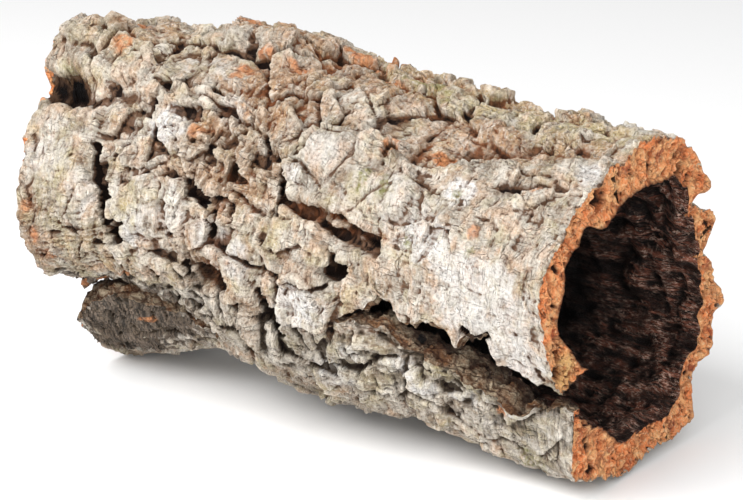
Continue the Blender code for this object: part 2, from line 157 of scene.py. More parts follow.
# Furrows: half-width, depth, and the points (station, angle) that each runs through.
FURROWS = (
    (0.0030, 0.008, ((-0.097, 158), (-0.093, 166), (-0.091, 174), (-0.086, 182))),     # long fissure in front
    (0.0055, 0.006, ((-0.138, 134), (-0.124, 136), (-0.114, 139))),     # crease under the shoulder
    (0.0045, 0.006, ((0.002, 146), (0.007, 154), (0.028, 157), (0.052, 159))),         # under the broad plate
    (0.0080, 0.006, ((0.072, 118), (0.092, 107), (0.112, 107), (0.132, 100))),         # along the top
    (0.0026, 0.003, ((0.100, 128), (0.118, 125), (0.132, 121))),                       # above the pale plate
    (0.0060, 0.006, ((-0.130, 14), (-0.060, 6), (0.010, -2), (0.120, 3))),     # long furrow on the back
    (0.0050, 0.005, ((-0.120, -58), (-0.050, -55), (0.030, -62), (0.110, -56))),       # and one below it
)
FURROW_SHARPNESS = 1.2

# Pits: station, angle, radius, depth.
PITS = (
    (-0.085, 182, 0.0055, 0.009),      # at the fissure's lower end
    (0.036, 170, 0.0050, 0.010),       # knot hole
    (-0.032, 189, 0.0100, 0.009),      # hollow beside the column
    (-0.018, 196, 0.0060, 0.007),
    (-0.023, 153, 0.0060, 0.007),      # the crumbled middle
    (-0.012, 146, 0.0060, 0.006),
    (-0.038, 140, 0.0070, 0.005),
    (0.096, 102, 0.0060, 0.003),       # in the top furrow
)

# The solid's own random relief: cell size, height and number of cells round the tube, and the like for swells.
BLOCK_LENGTH, BLOCKS_ROUND, BLOCK_HEIGHT, CRACK_DEPTH = 0.027, 20, 0.0045, 0.0035
SWELLS = ((0.048, 10, 0.0030, 41), (0.020, 24, 0.0018, 43))
WARP_LENGTH, WARPS_ROUND, WARP = 0.016, 30, 0.005
SINK = 0.0012
USUAL_ROUGHNESS = 0.45
ROUGH_PLACES = (
    (-0.045, 150, 0.09, 75, 0.9),
    (0.0, 85, 0.22, 50, 0.7),
    (0.02, 210, 0.10, 45, 0.4),
    (-0.13, 110, 0.07, 50, 0.5),
    (0.0, -10, 0.25, 80, 0.35),
    (0.10, 160, 0.06, 45, -0.25),
)

# The grids: the crust's relief is worked out on ROWS stations and COLUMNS angles, and meshed on ROWS stations and
# QUARTER shares. The belly has half as many of both.
ROWS, COLUMNS = 400, 1152
QUARTER = 176
THROUGH_MOUTH, THROUGH_FAR, THROUGH_SLIT = 22, 6, 11
STATIONS = np.linspace(-HALF, HALF, ROWS + 1)
ANGLES = np.arange(COLUMNS) * 360 / COLUMNS
QUARTERS = ("bark_front", "bark_top", "bark_back", "bark_underside")


def ramp(v):
    """0 below 0, 1 above 1, and an S curve between: v*v*(3 - 2*v)."""
    v = np.clip(v, 0, 1)
    return v * v * (3 - 2 * v)


def through(places, values, at):
    """A smooth curve through values at places (cubic Hermite), level past the ends."""
    places, values = np.asarray(places, float), np.asarray(values, float)
    at = np.clip(at, places[0], places[-1])
    k = np.clip(np.searchsorted(places, at) - 1, 0, len(places) - 2)
    slope = np.gradient(values, places)
    span = places[k + 1] - places[k]
    t = (at - places[k]) / span
    start = (2 * t**3 - 3 * t**2 + 1) * values[k] + (t**3 - 2 * t**2 + t) * span * slope[k]
    return start + (3 * t**2 - 2 * t**3) * values[k + 1] + (t**3 - t**2) * span * slope[k + 1]


def along(table, at):
    return through(list(table), list(table.values()), at)


def scatter(i, j, seed):
    """A fixed random number from 0 to 1 for each pair of whole numbers."""
    n = (i.astype(np.int64) * 374761393 + j.astype(np.int64) * 668265263 + seed * 2246822519) & 0xFFFFFFFF
    n = ((n ^ (n >> 15)) * 2246822519) & 0xFFFFFFFF
    n = ((n ^ (n >> 13)) * 3266489917) & 0xFFFFFFFF
    return ((n ^ (n >> 16)) & 0xFFFFFF) / float(1 << 24)


def swell(p, q, seed, count):
    """Gradient noise, about -1 to 1, that meets itself after count steps of q."""
    i, j = np.floor(p), np.floor(q)
    f, g = p - i, q - j
    u, v = f**3 * (f * (f * 6 - 15) + 10), g**3 * (g * (g * 6 - 15) + 10)

    def corner(di, dj):
        slope = 2 * np.pi * scatter(i + di, np.mod(j + dj, count), seed)
        return np.cos(slope) * (f - di) + np.sin(slope) * (g - dj)

    low = corner(0, 0) * (1 - u) + corner(1, 0) * u
    high = corner(0, 1) * (1 - u) + corner(1, 1) * u
    return (low * (1 - v) + high * v) * 1.5


def cells(p, q, seed, count):
    """Random cells: distance to the border, the cell's number from 0 to 1, distance to its middle, and its tilt."""
    i, j = np.floor(p), np.floor(q)
    first, second = np.full(p.shape, 9.0), np.full(p.shape, 9.0)
    name, tilt = np.zeros(p.shape), np.zeros(p.shape)
    for di in (-1, 0, 1):
        for dj in (-1, 0, 1):
            column, row = i + di, np.mod(j + dj, count)
            middle_p = i + di + 0.5 + 0.85 * (scatter(column, row, seed) - 0.5)
            middle_q = j + dj + 0.5 + 0.85 * (scatter(column, row, seed + 1) - 0.5)
            d = np.hypot(p - middle_p, q - middle_q)
            near = d < first
            second = np.where(near, first, np.minimum(second, d))
            name = np.where(near, scatter(column, row, seed + 2), name)
            own_tilt = (p - middle_p) * (2 * scatter(column, row, seed + 3) - 1)
            own_tilt += (q - middle_q) * (2 * scatter(column, row, seed + 4) - 1)
            tilt = np.where(near, own_tilt, tilt)
            first = np.where(near, d, first)
    return second - first, name, first, tilt


def turned(angle, place):
    """Degrees from a place round the tube, -180 to 180."""
    return np.mod(angle - place + 180, 360) - 180


def swelling(x, angle, place):
    """1 at a place (station, angle, half-length, half-width), falling smoothly to 0 at its edge."""
    station, middle, length, width = place
    d = np.hypot((x - station) / length, turned(angle, middle) / width)
    return ramp(1 - d)


def from_path(x, angle, points):
    """Distance to a path of (station, angle) points, measured on the crust."""
    arc = MEAN_RADIUS * np.pi / 180
    nearest = np.full(x.shape, LENGTH)
    for (x0, a0), (x1, a1) in zip(points, points[1:]):
        dx, da = x1 - x0, (a1 - a0) * arc
        px, pa = x - x0, turned(angle, a0) * arc
        share = np.clip((px * dx + pa * da) / (dx * dx + da * da), 0, 1)
        nearest = np.minimum(nearest, np.hypot(px - share * dx, pa - share * da))
    return nearest


def base_radius(x, angle):
    """Outer radius before relief: a smooth curve round each station, blended from station to station."""
    stations = np.array(list(RADII))
    places = np.arange(-2 * RING_STEP, 360 + 3 * RING_STEP, RING_STEP)
    rings = np.array([through(places, r[-2:] + r + r[:3], np.mod(angle, 360)) for r in RADII.values()])
    k = np.clip(np.searchsorted(stations, x) - 1, 0, len(stations) - 2)
    share = ramp((x - stations[k]) / (stations[k + 1] - stations[k]))
    low = np.take_along_axis(rings, k[None], 0)[0]
    high = np.take_along_axis(rings, k[None] + 1, 0)[0]
    return low + (high - low) * share


def roughness(x, angle):
    """How broken the crust is, from 0.15 where it is smooth to 1.6 where it crumbles."""
    rough = USUAL_ROUGHNESS + sum(p[4] * swelling(x, angle, p[:4]) for p in ROUGH_PLACES)
    return np.clip(rough, 0.15, 1.6)


def named_forms(x, angle, shift, twist):
    """Height of the plates, furrows and pits listed above, their edges bent by shift and twist."""
    height = np.zeros(x.shape)
    for station, middle, length, width, rise, softness in PLATES:
        across = np.abs((x + shift - station) / length) ** PLATE_POWER
        around = np.abs(turned(angle + twist, middle) / width) ** PLATE_POWER
        height += rise * ramp((1.12 - (across + around) ** (1 / PLATE_POWER)) / softness)
    x, angle = x + shift / 2, angle + twist / 2
    for half_width, depth, points in FURROWS:
        share = from_path(x, angle, points) / half_width
        height -= depth * np.exp(-FURROW_SHARPNESS * share**2)
    for station, middle, radius, depth in PITS:
        share = from_path(x, angle, ((station, middle), (station + 1e-6, middle))) / radius
        height -= depth * ramp((1.25 - share) / 0.8)
    return height


def crust_height(x, angle):
    """The solid's own relief: named forms, random blocks with cracks between, and swells."""
    turn = np.mod(angle + 180, 360) / 360
    rough = roughness(x, angle)
    shift = WARP * swell(x / WARP_LENGTH, turn * WARPS_ROUND, 5, WARPS_ROUND)
    twist = WARP * swell(x / WARP_LENGTH, turn * WARPS_ROUND, 9, WARPS_ROUND)
    bent_turn = turn + twist / ROUND
    border, name, _, _ = cells((x + shift) / BLOCK_LENGTH, bent_turn * BLOCKS_ROUND, 21, BLOCKS_ROUND)
    blocks = (name - 0.5) * BLOCK_HEIGHT * np.clip(border / 0.12, 0, 1)
    cracks = CRACK_DEPTH * np.exp(-((border / 0.10) ** 2))
    height = rough * (blocks - cracks)
    for length, count, rise, seed in SWELLS:
        height += rise * swell(x / length, turn * count, seed, count) * (0.4 + 0.5 * rough)
    height += named_forms(x, angle, shift, np.degrees(twist / MEAN_RADIUS))
    for place in LOBES:
        height += place[4] * swelling(x, angle, place[:4])
    return height - SINK


def wall(x, angle):
    """Thickness of the bark, which turns uneven towards the near mouth."""
    near = np.clip((x - RIM_START) / (HALF - RIM_START), 0, 1) ** 1.5
    return WALL + (along(RIM_WALL, angle) - WALL) * near


def slit_width(x):
    """Degrees between the flap's edge and the lip's, and 0 where the slit is shut."""
    width = along(SLIT_WIDTH, x)
    return np.where(width > SHUT_BELOW, width, 0)


def bend_in(table, x, degrees_from_edge):
    """How far the sheet bends in near one edge of the slit."""
    return np.maximum(along(table, x), 0) * ramp(1 - degrees_from_edge / BEND_WIDTH)


def blur(field, size):
    """A field smoothed over size metres, by its waves: mirrored at the two ends, and closed round the tube."""
    mirrored = np.concatenate([field, field[::-1]])
    waves_x = np.fft.fftfreq(len(mirrored), LENGTH / ROWS)[:, None]
    waves_round = np.fft.rfftfreq(COLUMNS, ROUND / COLUMNS)[None]
    kept = np.exp(-2 * (np.pi * size) ** 2 * (waves_x**2 + waves_round**2))
    return np.fft.irfft2(np.fft.rfft2(mirrored) * kept, mirrored.shape)[: len(field)]


def columns_of_crust(x, turn, length, count, seed):
    """Short columns that run round the tube: each row of them is length wide and set off by its own share.

    Gives the distance to the column's border in metres, and its number from 0 to 1.
    """
    p = x / length
    i = np.floor(p)
    q = turn * count + scatter(i, i * 0, seed)
    j = np.floor(q)
    side = np.minimum(p - i, 1 - p + i) * length
    end = np.minimum(q - j, 1 - q + j) * ROUND / count
    return np.minimum(side, end), scatter(i, np.mod(j, count), seed + 1)


# Finer relief, worked out from random numbers: sizes in metres, numbers round the tube, and seeds.
BENDS = ((0.017, 28, 0.0024, 101), (0.006, 80, 0.0006, 103), (0.0026, 184, 0.0003, 105))    # length, round, shift
RISES = (       # length, number round, height, seed
    (0.0105, 45, 0.0009, 107), (0.0050, 60, 0.0005, 109), (0.0022, 50, 0.00055, 113), (0.0110, 180, 0.0005, 115),
)
LUMPS = (       # length, number round, step, soft border, seed
    (0.0150, 34, 0.0030, 0.05, 121), (0.0055, 44, 0.0009, 0.08, 131),
)
LUMP_TILT, CRUMB_TILT = 1.3, 1.6        # how far the lumps' and flakes' flat tops lean
COLUMN_LENGTH, COLUMNS_ROUND = 0.0078, 17
COLUMN_STEP, COLUMN_CRACK, COLUMN_CRACK_WIDTH = 0.0012, 0.0009, 0.0006
CRUMB_LENGTH, CRUMBS_ROUND, CRUMB_HEIGHT = 0.0036, 66, 0.0024
LEDGE_STEP, LEDGE_HEIGHT = 0.0125, 0.0020
LAYER_STEP, LAYER_SHARE, LAYER_EDGE = 0.0016, 0.5, 0.2
LINE_STEP, LINE_HEIGHT = 0.0024, 0.00055
HOLE_LENGTH, HOLES_ROUND, HOLE_SHARE, HOLE_DEPTH = 0.0085, 56, 0.975, 0.0024
RIM_FADE = 0.006
RIM_BITS = ((0.0050, 96, 0.0010, 197), (0.0024, 199, 0.0011, 198), (0.0013, 367, 0.0006, 199))
SMOOTHED = 0.006        # how far the solid's own cracks are smoothed away on the smooth plates
LEAN, MOST_LEAN, LEAN_BLUR = 0.4, 0.0015, 0.0014

# Fissures of the crust: half-width and depth in millimetres, and points of station (mm) and angle.
FISSURES = (
    (1.1, 5, ((-101, 151), (-100, 160), (-96.5, 166), (-94, 172), (-91.5, 179), (-89, 183))),
    (3.2, 8, ((-87, 177), (-82, 179))),
    (1.1, 7, ((1, 149), (1.5, 155), (2.5, 161))),
    (2.6, 5, ((4, 153), (15, 155.5), (27, 153.5))),
    (2.2, 5, ((31, 153.5), (40, 155), (51, 157))),
    (3.0, 5, ((34, 166), (34, 171))),
    (0.9, 3.5, ((-51, 153), (-46, 162), (-39, 166), (-32.5, 167), (-31, 175))),
    (0.9, 3.5, ((-48, 172), (-49.5, 182), (-46, 193))),
    (0.8, 3, ((12, 179), (22, 178.5), (33, 176))),
    (0.5, 1.0, ((96, 129), (108, 126), (123, 121), (132, 119))),
    (1.4, 5, ((100, 177), (106, 177.5), (111, 177))),
    (0.9, 3.5, ((-82, 128.5), (-62, 128), (-42, 129.5))),
    (1.0, 3, ((-70, 196), (-64, 206), (-66, 214))),
    (1.6, 3.5, ((46, 126.5), (46.5, 130))),
    (2.6, 5, ((-3, 187), (0, 191), (0.5, 196), (3, 200))),
    (1.1, 4, ((-111, 220), (-112.5, 228), (-114, 235), (-119, 245))),
)


def bends(x, angle):
    """How far every finer pattern is shifted along the tube and round it, in metres."""
    turn = angle / 360
    shift = sum(s * swell(x / l, turn * n, seed, n) for l, n, s, seed in BENDS)
    return shift, sum(s * swell(x / l, turn * n, seed + 1, n) for l, n, s, seed in BENDS)


def ledges(x, angle):
    """Plates that stand out further and further round the tube, then drop back at a ledge that runs along it."""
    turn = angle / 360
    wander = 0.008 * swell(x / 0.034, turn * 14, 185, 14) + 0.0035 * swell(x / 0.011, turn * 43, 187, 43)
    level = (angle * MIN_ROUND + wander) / LEDGE_STEP
    share = level - np.floor(level)
    drop = 0.5 + 0.5 * swell(x / 0.020, turn * 24, 189, 24)
    return LEDGE_HEIGHT * drop * (ramp(share / 0.85) - ramp((share - 0.88) / 0.12) - 0.4)


def fine_relief(x, angle, rough, crumb, smooth, slabs):
    """Swells, flat lumps, columns, ledges and crumbs, each as high as the crust there is rough, and holes."""
    turn = angle / 360
    shift, twist = bends(x, angle)
    twist = twist / ROUND
    height = (0.25 + 0.75 * rough) * ledges(x, angle)
    for length, count, rise, seed in RISES:
        height += (0.5 + 0.5 * rough + 0.6 * crumb) * rise * swell(x / length, turn * count, seed, count)
    for length, count, step, soft, seed in LUMPS:
        border, name, _, tilt = cells((x + shift) / length, (turn + twist) * count, seed, count)
        height += (0.3 + 0.7 * rough) * (name - 0.5 + LUMP_TILT * tilt) * step * ramp(border / soft)
    patchy = ramp(0.5 + 1.6 * swell(x / 0.013, turn * 36, 119, 36))
    border, name = columns_of_crust(x + shift, turn + twist, COLUMN_LENGTH, COLUMNS_ROUND, 111)
    columns = (0.4 + 0.5 * rough) * (name - 0.5) * COLUMN_STEP * ramp(border / 0.0014)
    columns -= patchy * (0.5 + 0.4 * rough) * COLUMN_CRACK * np.exp(-((border / COLUMN_CRACK_WIDTH) ** 2))
    border, name, _, tilt = cells((x + shift) / CRUMB_LENGTH, (turn + twist) * CRUMBS_ROUND, 141, CRUMBS_ROUND)
    flakes = ramp(border / 0.12) * (0.2 + name + CRUMB_TILT * tilt) - 0.5
    height += (0.03 * rough + 0.5 * crumb) * CRUMB_HEIGHT * flakes
    _, name, middle, _ = cells(x / HOLE_LENGTH, turn * HOLES_ROUND, 161, HOLES_ROUND)
    size = 0.12 + 0.16 * (name - HOLE_SHARE) / (1 - HOLE_SHARE)
    height -= HOLE_DEPTH * ramp((size - middle) / 0.09) * (name > HOLE_SHARE)
    return height * (1 - 0.8 * smooth) + columns * (1 - 0.3 * smooth) * (1 + 1.2 * slabs)


def layered(height, x, angle):
    """Weathered layers: slopes turned into steps, as growth rings come to light in worn cork."""
    wander = 0.0009 * swell(x / 0.009, angle / 360 * 54, 171, 54)
    level = (height + wander) / LAYER_STEP
    whole = np.floor(level)
    step = whole + ramp((level - whole - 0.5) / LAYER_EDGE + 0.5)
    return height + LAYER_SHARE * (step - level) * LAYER_STEP


def rim_crumbs(x, angle, seed):
    """Small bits that stand out or are missing along the near mouth's two borders."""
    turn = angle / 360
    bits = sum(rise * swell(x / size, turn * count, seed + own, count) for size, count, rise, own in RIM_BITS)
    return bits * ramp((x - HALF + RIM_FADE) / RIM_FADE)


def growth_lines(x, angle):
    """Low terraces that run along the tube, one every LINE_STEP round it."""
    turn = angle / 360
    wander = 0.0016 * swell(x / 0.018, turn * 26, 181, 26) + 0.0006 * swell(x / 0.005, turn * 95, 183, 95)
    level = (angle * MIN_ROUND + wander) / LINE_STEP
    share = level - np.floor(level)
    return LINE_HEIGHT * (ramp(share / 0.7) - ramp((share - 0.75) / 0.25) - 0.5)


def fissures(x, angle):
    """Depth of the fissures: ragged clefts along their paths, with steep sides."""
    turn = angle / 360
    shift = 0.0018 * swell(x / 0.006, turn * 80, 191, 80) + 0.0009 * swell(x / 0.0024, turn * 199, 193, 199)
    twist = 0.0018 * swell(x / 0.006, turn * 80, 195, 80) / ROUND * 360
    depth = np.zeros(x.shape)
    for half_width, most, points in FISSURES:
        path = [(station * MM, middle) for station, middle in points]
        share = from_path(x + shift, angle + twist, path) / (half_width * MM)
        depth = np.maximum(depth, most * MM * ramp((1.35 - share) / 0.8))
    return depth


# Patches of colour and texture: station, half-length and half-width in millimetres, and the angle in degrees.
# Rows are station, angle, half-length, half-width, strength.
CRUMBLED = (
    (-28, 150, 26, 24, 1.0), (-10, 141, 16, 14, 0.8), (-40, 186, 14, 20, 0.7), (-14, 120, 20, 16, 0.7),
    (-12, 196, 12, 14, 0.8), (90, 186, 26, 12, 0.7), (30, 156, 24, 6, 0.9), (62, 122, 12, 8, 0.6),
    (8, 96, 16, 16, 0.5), (-60, 124, 16, 12, 0.3), (112, 104, 26, 10, 0.3),
)
WHITE = (
    (113, -149, 8, 7, 1.0), (70, -150, 6, 5, 0.9), (38, -160, 5, 6, 0.8), (-64, 144, 12, 9, 1.0), (-50, 172, 9, 14, 0.6), (-34, 133, 9, 8, 0.7), (112, 170, 26, 22, 0.7),
    (128, 182, 10, 14, 0.8), (96, 158, 16, 8, 0.8), (84, 134, 9, 7, 1.0), (134, 116, 5, 6, 1.0),
    (20, 184, 13, 9, 0.9), (27, -150, 9, 10, 1.0), (6, 146, 8, 5, 0.8), (88, -150, 9, 8, 0.8),
    (-30, 176, 10, 9, 0.6), (60, 144, 20, 12, 0.5), (130, 79, 8, 8, 0.7), (44, 150, 14, 8, 0.5),
    (62, -158, 9, 6, 0.9), (8, -168, 8, 6, 0.8), (104, -152, 9, 6, 0.8), (-12, 176, 7, 9, 0.7), (76, 152, 16, 9, 0.8),
    (-124, 156, 12, 10, 0.7), (-104, 168, 8, 10, 0.5), (-72, 178, 8, 10, 0.8), (18, 136, 10, 8, 0.4),
)
LICHEN = (
    (-105, 196, 30, 26, 0.4), (-78, 172, 10, 12, 0.9), (-118, 165, 16, 24, 0.5), (60, 84, 60, 26, 0.9),
    (20, 74, 40, 30, 0.7), (116, 90, 34, 22, 0.8), (47, 146, 12, 12, 0.6), (-100, 112, 40, 20, 0.4),
    (0, 168, 12, 10, 0.4), (40, -158, 20, 14, 0.4), (0, 40, 140, 40, 0.5),
    (98, -158, 34, 14, 0.9), (120, -140, 16, 18, 0.5),
)
MOSS = (
    (43, 141, 3, 6, 1.0), (52, 141, 3, 5, 1.0), (68, 154, 2.5, 4, 1.0), (84, 136, 3, 3, 0.8), (38, 92, 6, 5, 0.7),
    (116, -126, 8, 10, 0.7), (100, 152, 3, 3, 0.6), (-125, 132, 8, 6, 0.6), (25, 88, 8, 6, 0.5), (45, 96, 5, 4, 0.6),
)
FRESH = (
    (68, 123, 8, 4.5, 1.0), (-59, 97, 7, 4, 0.9), (-43, 121, 3.5, 3, 0.9), (-36, 109, 5, 3, 0.9), (13, 93, 10, 4, 1.0),
    (-92, 201, 3.5, 3, 1.0), (-90, 224, 7, 1.8, 0.9), (46, 128, 4, 4.5, 1.0), (-118, 100, 6, 5, 1.0), (100, 146, 3, 3, 0.7),
    (106, -146, 3, 3, 1.0), (-8, 84, 12, 4, 1.0), (-1, 72, 8, 4, 1.0), (-41, 117, 7, 3, 0.9), (-18, 109.5, 8, 3, 0.9), (-65, 87, 12, 4, 0.9),
    (-106, 119, 5, 4, 0.9), (42, 76.5, 4, 3, 0.8), (-114, 207, 4, 2.5, 0.8), (-137, 221, 4, 7, 1.0),
    (-132, 182, 3, 4, 0.9), (-136, 172, 2.5, 3, 0.7), (-128, 190, 3, 3, 0.8), (-30, 165, 3, 3, 0.5),
    (-70, 150, 2.5, 2, 0.7), (-46, 144, 4, 3, 0.8), (5, 62, 6, 5, 0.6), (-80, 78, 7, 4, 0.8), (116, 126, 2.5, 3, 0.8),
)
SMOOTH = (
    (-62, 120.5, 23, 9, 0.75), (108, 168, 30, 26, 0.7), (-118, 158, 18, 22, 0.4), (33, 140, 24, 16, 0.35),
    (-70, 170, 16, 20, 0.6), (120, -140, 30, 30, 0.55), (-100, -140, 40, 30, 0.5), (134, 116, 7, 7, 1.0),
)
LINED = (
    (-116, 186, 26, 26, 1.0), (-70, 190, 18, 16, 0.5), (-96, -135, 44, 16, 0.8), (-20, 20, 60, 30, 0.6),
    (60, -20, 40, 20, 0.6),
)
RUSTY = (
    (-40, 92, 52, 15, 1.0), (-20, 122, 24, 20, 1.0), (-112, 106, 24, 14, 0.8), (28, 155, 27, 5, 1.0),
    (-22, 156, 16, 9, 0.9), (80, 108, 36, 13, 0.8), (62, 122, 12, 8, 1.0), (-28, 187, 16, 15, 0.8),
    (16, 100, 34, 14, 0.9), (120, 102, 22, 12, 0.7), (-134, 182, 8, 20, 0.6), (50, 76, 60, 16, 0.8),
    (-45, 140, 8, 5, 0.8), (-96, 198, 14, 5, 0.7), (-80, 60, 60, 30, 0.4), (40, 20, 90, 20, 0.4),
)
# Low bark and tongue that lie in shade: painted shade darkens their crust, which is also less warm in tone and has
# stronger columns.
SHADED_LOW_BARK = (
    (-100, -138, 60, 30, 1.0), (-112, -120, 36, 20, 1.0), (0, 206, 60, 22, 0.84), (98, -157, 30, 10, 0.87), (60, -152, 60, 26, 0.78), (114, -146, 34, 26, 0.78),
    (-62, 212, 22, 14, 0.8), (0, -90, 150, 50, 0.5), (-46, 200, 14, 16, 0.7),
)


def patches(table, x, angle, seed):
    """The strongest of a list of patches at each point, their edges frayed by noise."""
    turn = angle / 360
    fray = 0.35 * swell(x / 0.006, turn * 80, seed, 80) + 0.25 * swell(x / 0.0025, turn * 190, seed + 1, 190)
    best = np.zeros(x.shape)
    for station, middle, length, width, strength in table:
        d = np.hypot((x - station * MM) / (length * MM), turned(angle, middle) * MIN_ROUND / (width * MM))
        best = np.maximum(best, strength * ramp((1.15 - d + fray) / 0.5))
    return best


def crust_fields():
    """Everything the crust is made from, on the grid of stations and angles, by name."""
    x, angle = np.meshgrid(STATIONS, ANGLES, indexing="ij")
    turn = angle / 360
    rough = roughness(x, angle)
    crumb = patches(CRUMBLED, x, angle, 201)
    smooth = patches(SMOOTH, x, angle, 251)
    shaded_low_bark = patches(SHADED_LOW_BARK, x, angle, 281)
    rim = ramp((x - HALF + RIM_LENGTH) / RIM_LENGTH)
    form = crust_height(x, angle)
    form = form + (blur(form, SMOOTHED) - form) * 0.8 * smooth
    form = form * (1 - CALM_RIM * rim)
    fade = 0.7 + 0.3 * ramp((HALF - x) / RIM_FADE)
    relief = layered(form + fine_relief(x, angle, rough, crumb, smooth, shaded_low_bark) * fade, x, angle)
    relief = relief + (0.45 + 1.5 * patches(LINED, x, angle, 261)) * growth_lines(x, angle) * fade
    relief = relief - fissures(x, angle) * fade + rim_crumbs(x, angle, 0)
    soft = blur(relief, LEAN_BLUR)
    slope_x, slope_round = np.gradient(soft, LENGTH / ROWS, ROUND / COLUMNS)
    ends = ramp((HALF - np.abs(x)) / 0.006)
    proud = relief - blur(relief, 0.004)
    lean_x = np.clip(-LEAN * proud * slope_x, -MOST_LEAN, MOST_LEAN) * ends
    lean_round = np.clip(-LEAN * proud * slope_round, -MOST_LEAN, MOST_LEAN)
    hollows = [blur(relief, size) - relief for size in (0.0010, 0.0035, 0.012)]
    mottle = swell(x / 0.020, turn * 24, 301, 24) + 0.6 * swell(x / 0.007, turn * 68, 303, 68)
    shift, twist = bends(x, angle)
    _, tone, _, _ = cells((x + shift) / 0.008, (turn + twist / ROUND) * 36, 311, 36)
    _, fine_tone, _, _ = cells((x + shift) / 0.0032, (turn + twist / ROUND) * 96, 313, 96)
    return {
        "relief": relief, "lean_x": lean_x, "lean_round": np.degrees(lean_round / MEAN_RADIUS),
        "crack": hollows[0] / 0.0006, "hollow": hollows[1] / 0.0016, "deep": hollows[2] / 0.0045,
        "crumb": crumb, "white": patches(WHITE, x, angle, 211), "lichen": patches(LICHEN, x, angle, 221),
        "moss": patches(MOSS, x, angle, 231), "fresh": patches(FRESH, x, angle, 241), "mottle": mottle,
        "tone": 0.6 * tone + 0.4 * fine_tone, "rusty": patches(RUSTY, x, angle, 271),
        "shaded_low_bark": shaded_low_bark, "smooth": smooth, "bend_along": shift, "bend_round": twist,
    }


COLOUR_LAYERS = (
    "crack", "hollow", "deep", "crumb", "white", "lichen", "moss", "fresh", "mottle", "tone", "rusty", "shaded_low_bark",
    "smooth",
)

# The belly: long fibres and low ribs along the tube, and lumps. Each row is length, number round, height, seed.
BELLY_RIBS = ((0.030, 104, 0.0009, 401), (0.012, 176, 0.0008, 403), (0.022, 30, 0.0024, 405))
BELLY_LUMPS = ((0.020, 16, 0.0040, 411), (0.009, 40, 0.0026, 413), (0.0045, 80, 0.0013, 415))
BELLY_RIM = 0.45        # how much of the crumbs at the crust's border the belly's border has
BELLY_FADE, BELLY_CALM = 0.012, 0.7     # length over which the belly's relief fades at the mouth, and its share


def belly_relief():
    """Height of the belly into the hollow: ribs, 1 - |noise| drawn out along the tube, and lumps."""
    x, angle = np.meshgrid(STATIONS, ANGLES, indexing="ij")
    turn = angle / 360
    height = np.zeros(x.shape)
    for length, count, rise, seed in BELLY_RIBS:
        height += rise * (0.5 - 2 * np.abs(swell(x / length, turn * count, seed, count)))
    for length, count, rise, seed in BELLY_LUMPS:
        height += rise * swell(x / length, turn * count, seed, count)
    calm = 1 - BELLY_CALM * ramp((x - HALF + BELLY_FADE) / BELLY_FADE)
    return layered(height, x, angle) * calm + BELLY_RIM * rim_crumbs(x, angle, 10)


FIELDS = crust_fields()
FIELDS["belly"] = belly_relief()
FIELDS["belly_hollow"] = (blur(FIELDS["belly"], 0.003) - FIELDS["belly"]) / 0.001


def at(name, row, angle):
    """A field at a row of stations and at any angle, blended between its two nearest columns."""
    field = FIELDS[name]
    spot = np.mod(angle, 360) / 360 * COLUMNS
    k = np.floor(spot).astype(int)
    share = spot - k
    return field[row, k % COLUMNS] * (1 - share) + field[row, (k + 1) % COLUMNS] * share


def edge_teeth(x, seed):
    """Degrees by which a torn edge of the slit wanders along the tube."""
    flat = x * 0 + 0.5
    return sum(size * swell(x / length, flat, seed + own, 1) for length, size, own in FINE_TEETH)


def bark_angle(row, v, t):
    """Angle of the sheet's point at a share v, and how many degrees it is from the flap's and the lip's edge."""
    x = STATIONS[row]
    width = slit_width(x)
    start = along(FLAP_EDGE, x) + RAGGED_EDGE * swell(x / RAGGED_LENGTH, x * 0 + 0.5, 71, 1)
    lean_in = LIP_LEAN * np.clip(width / WIDE_SLIT, 0, 1) * (1 - t)
    lean_in = lean_in * ramp((LEAN_ENDS[1] - x) / (LEAN_ENDS[1] - LEAN_ENDS[0]))
    sweep = 360 - width + lean_in
    torn = np.clip(width / 4, 0, 1)
    flap_side, lip_side = sweep * v, sweep * (1 - v)
    teeth = (torn * edge_teeth(x, 0) + along(FLAP_TEETH, x)) * np.exp(-flap_side / TEETH_REACH)
    teeth = teeth + torn * edge_teeth(x, 20) * np.exp(-lip_side / TEETH_REACH)
    return start - flap_side + teeth, flap_side, lip_side


def bark_point(row, v, t):
    """A point of the bark: its section's angle, and the radius from belly (t = 0) to crust (t = 1)."""
    x = STATIONS[row]
    angle, flap_side, lip_side = bark_angle(row, v, t)
    base = base_radius(x, angle) - bend_in(FLAP_BEND, x, flap_side) - bend_in(LIP_BEND, x, lip_side)
    rim = ramp((x - HALF + RIM_LENGTH) / RIM_LENGTH)
    base = base + (along(MOUTH_EDGE, turned(angle, 20) + 20) - base) * rim
    outer = base + at("relief", row, angle)
    inner = np.minimum(base - wall(x, turned(angle, 20) + 20), outer - LEAST_WALL) - at("belly", row, angle)
    radius = inner + (outer - inner) * t
    lobe = along(LOBE_LEAN, turned(angle, 20) + 20) * rim
    turn = np.radians(angle + (at("lean_round", row, angle) - lobe) * t)
    return np.stack([
        x + at("lean_x", row, angle) * t,
        radius * np.cos(turn),
        along(CENTRE_LINE, x) + radius * np.sin(turn),
    ], -1)


def squares(rows, columns, turned_over):
    """Two triangles for each square of a grid of points."""
    n = np.arange(rows * columns).reshape(rows, columns)
    a, b, c, d = n[:-1, :-1], n[1:, :-1], n[1:, 1:], n[:-1, 1:]
    faces = np.stack([a, b, c, a, c, d], -1).reshape(-1, 3)
    return faces[:, ::-1] if turned_over else faces


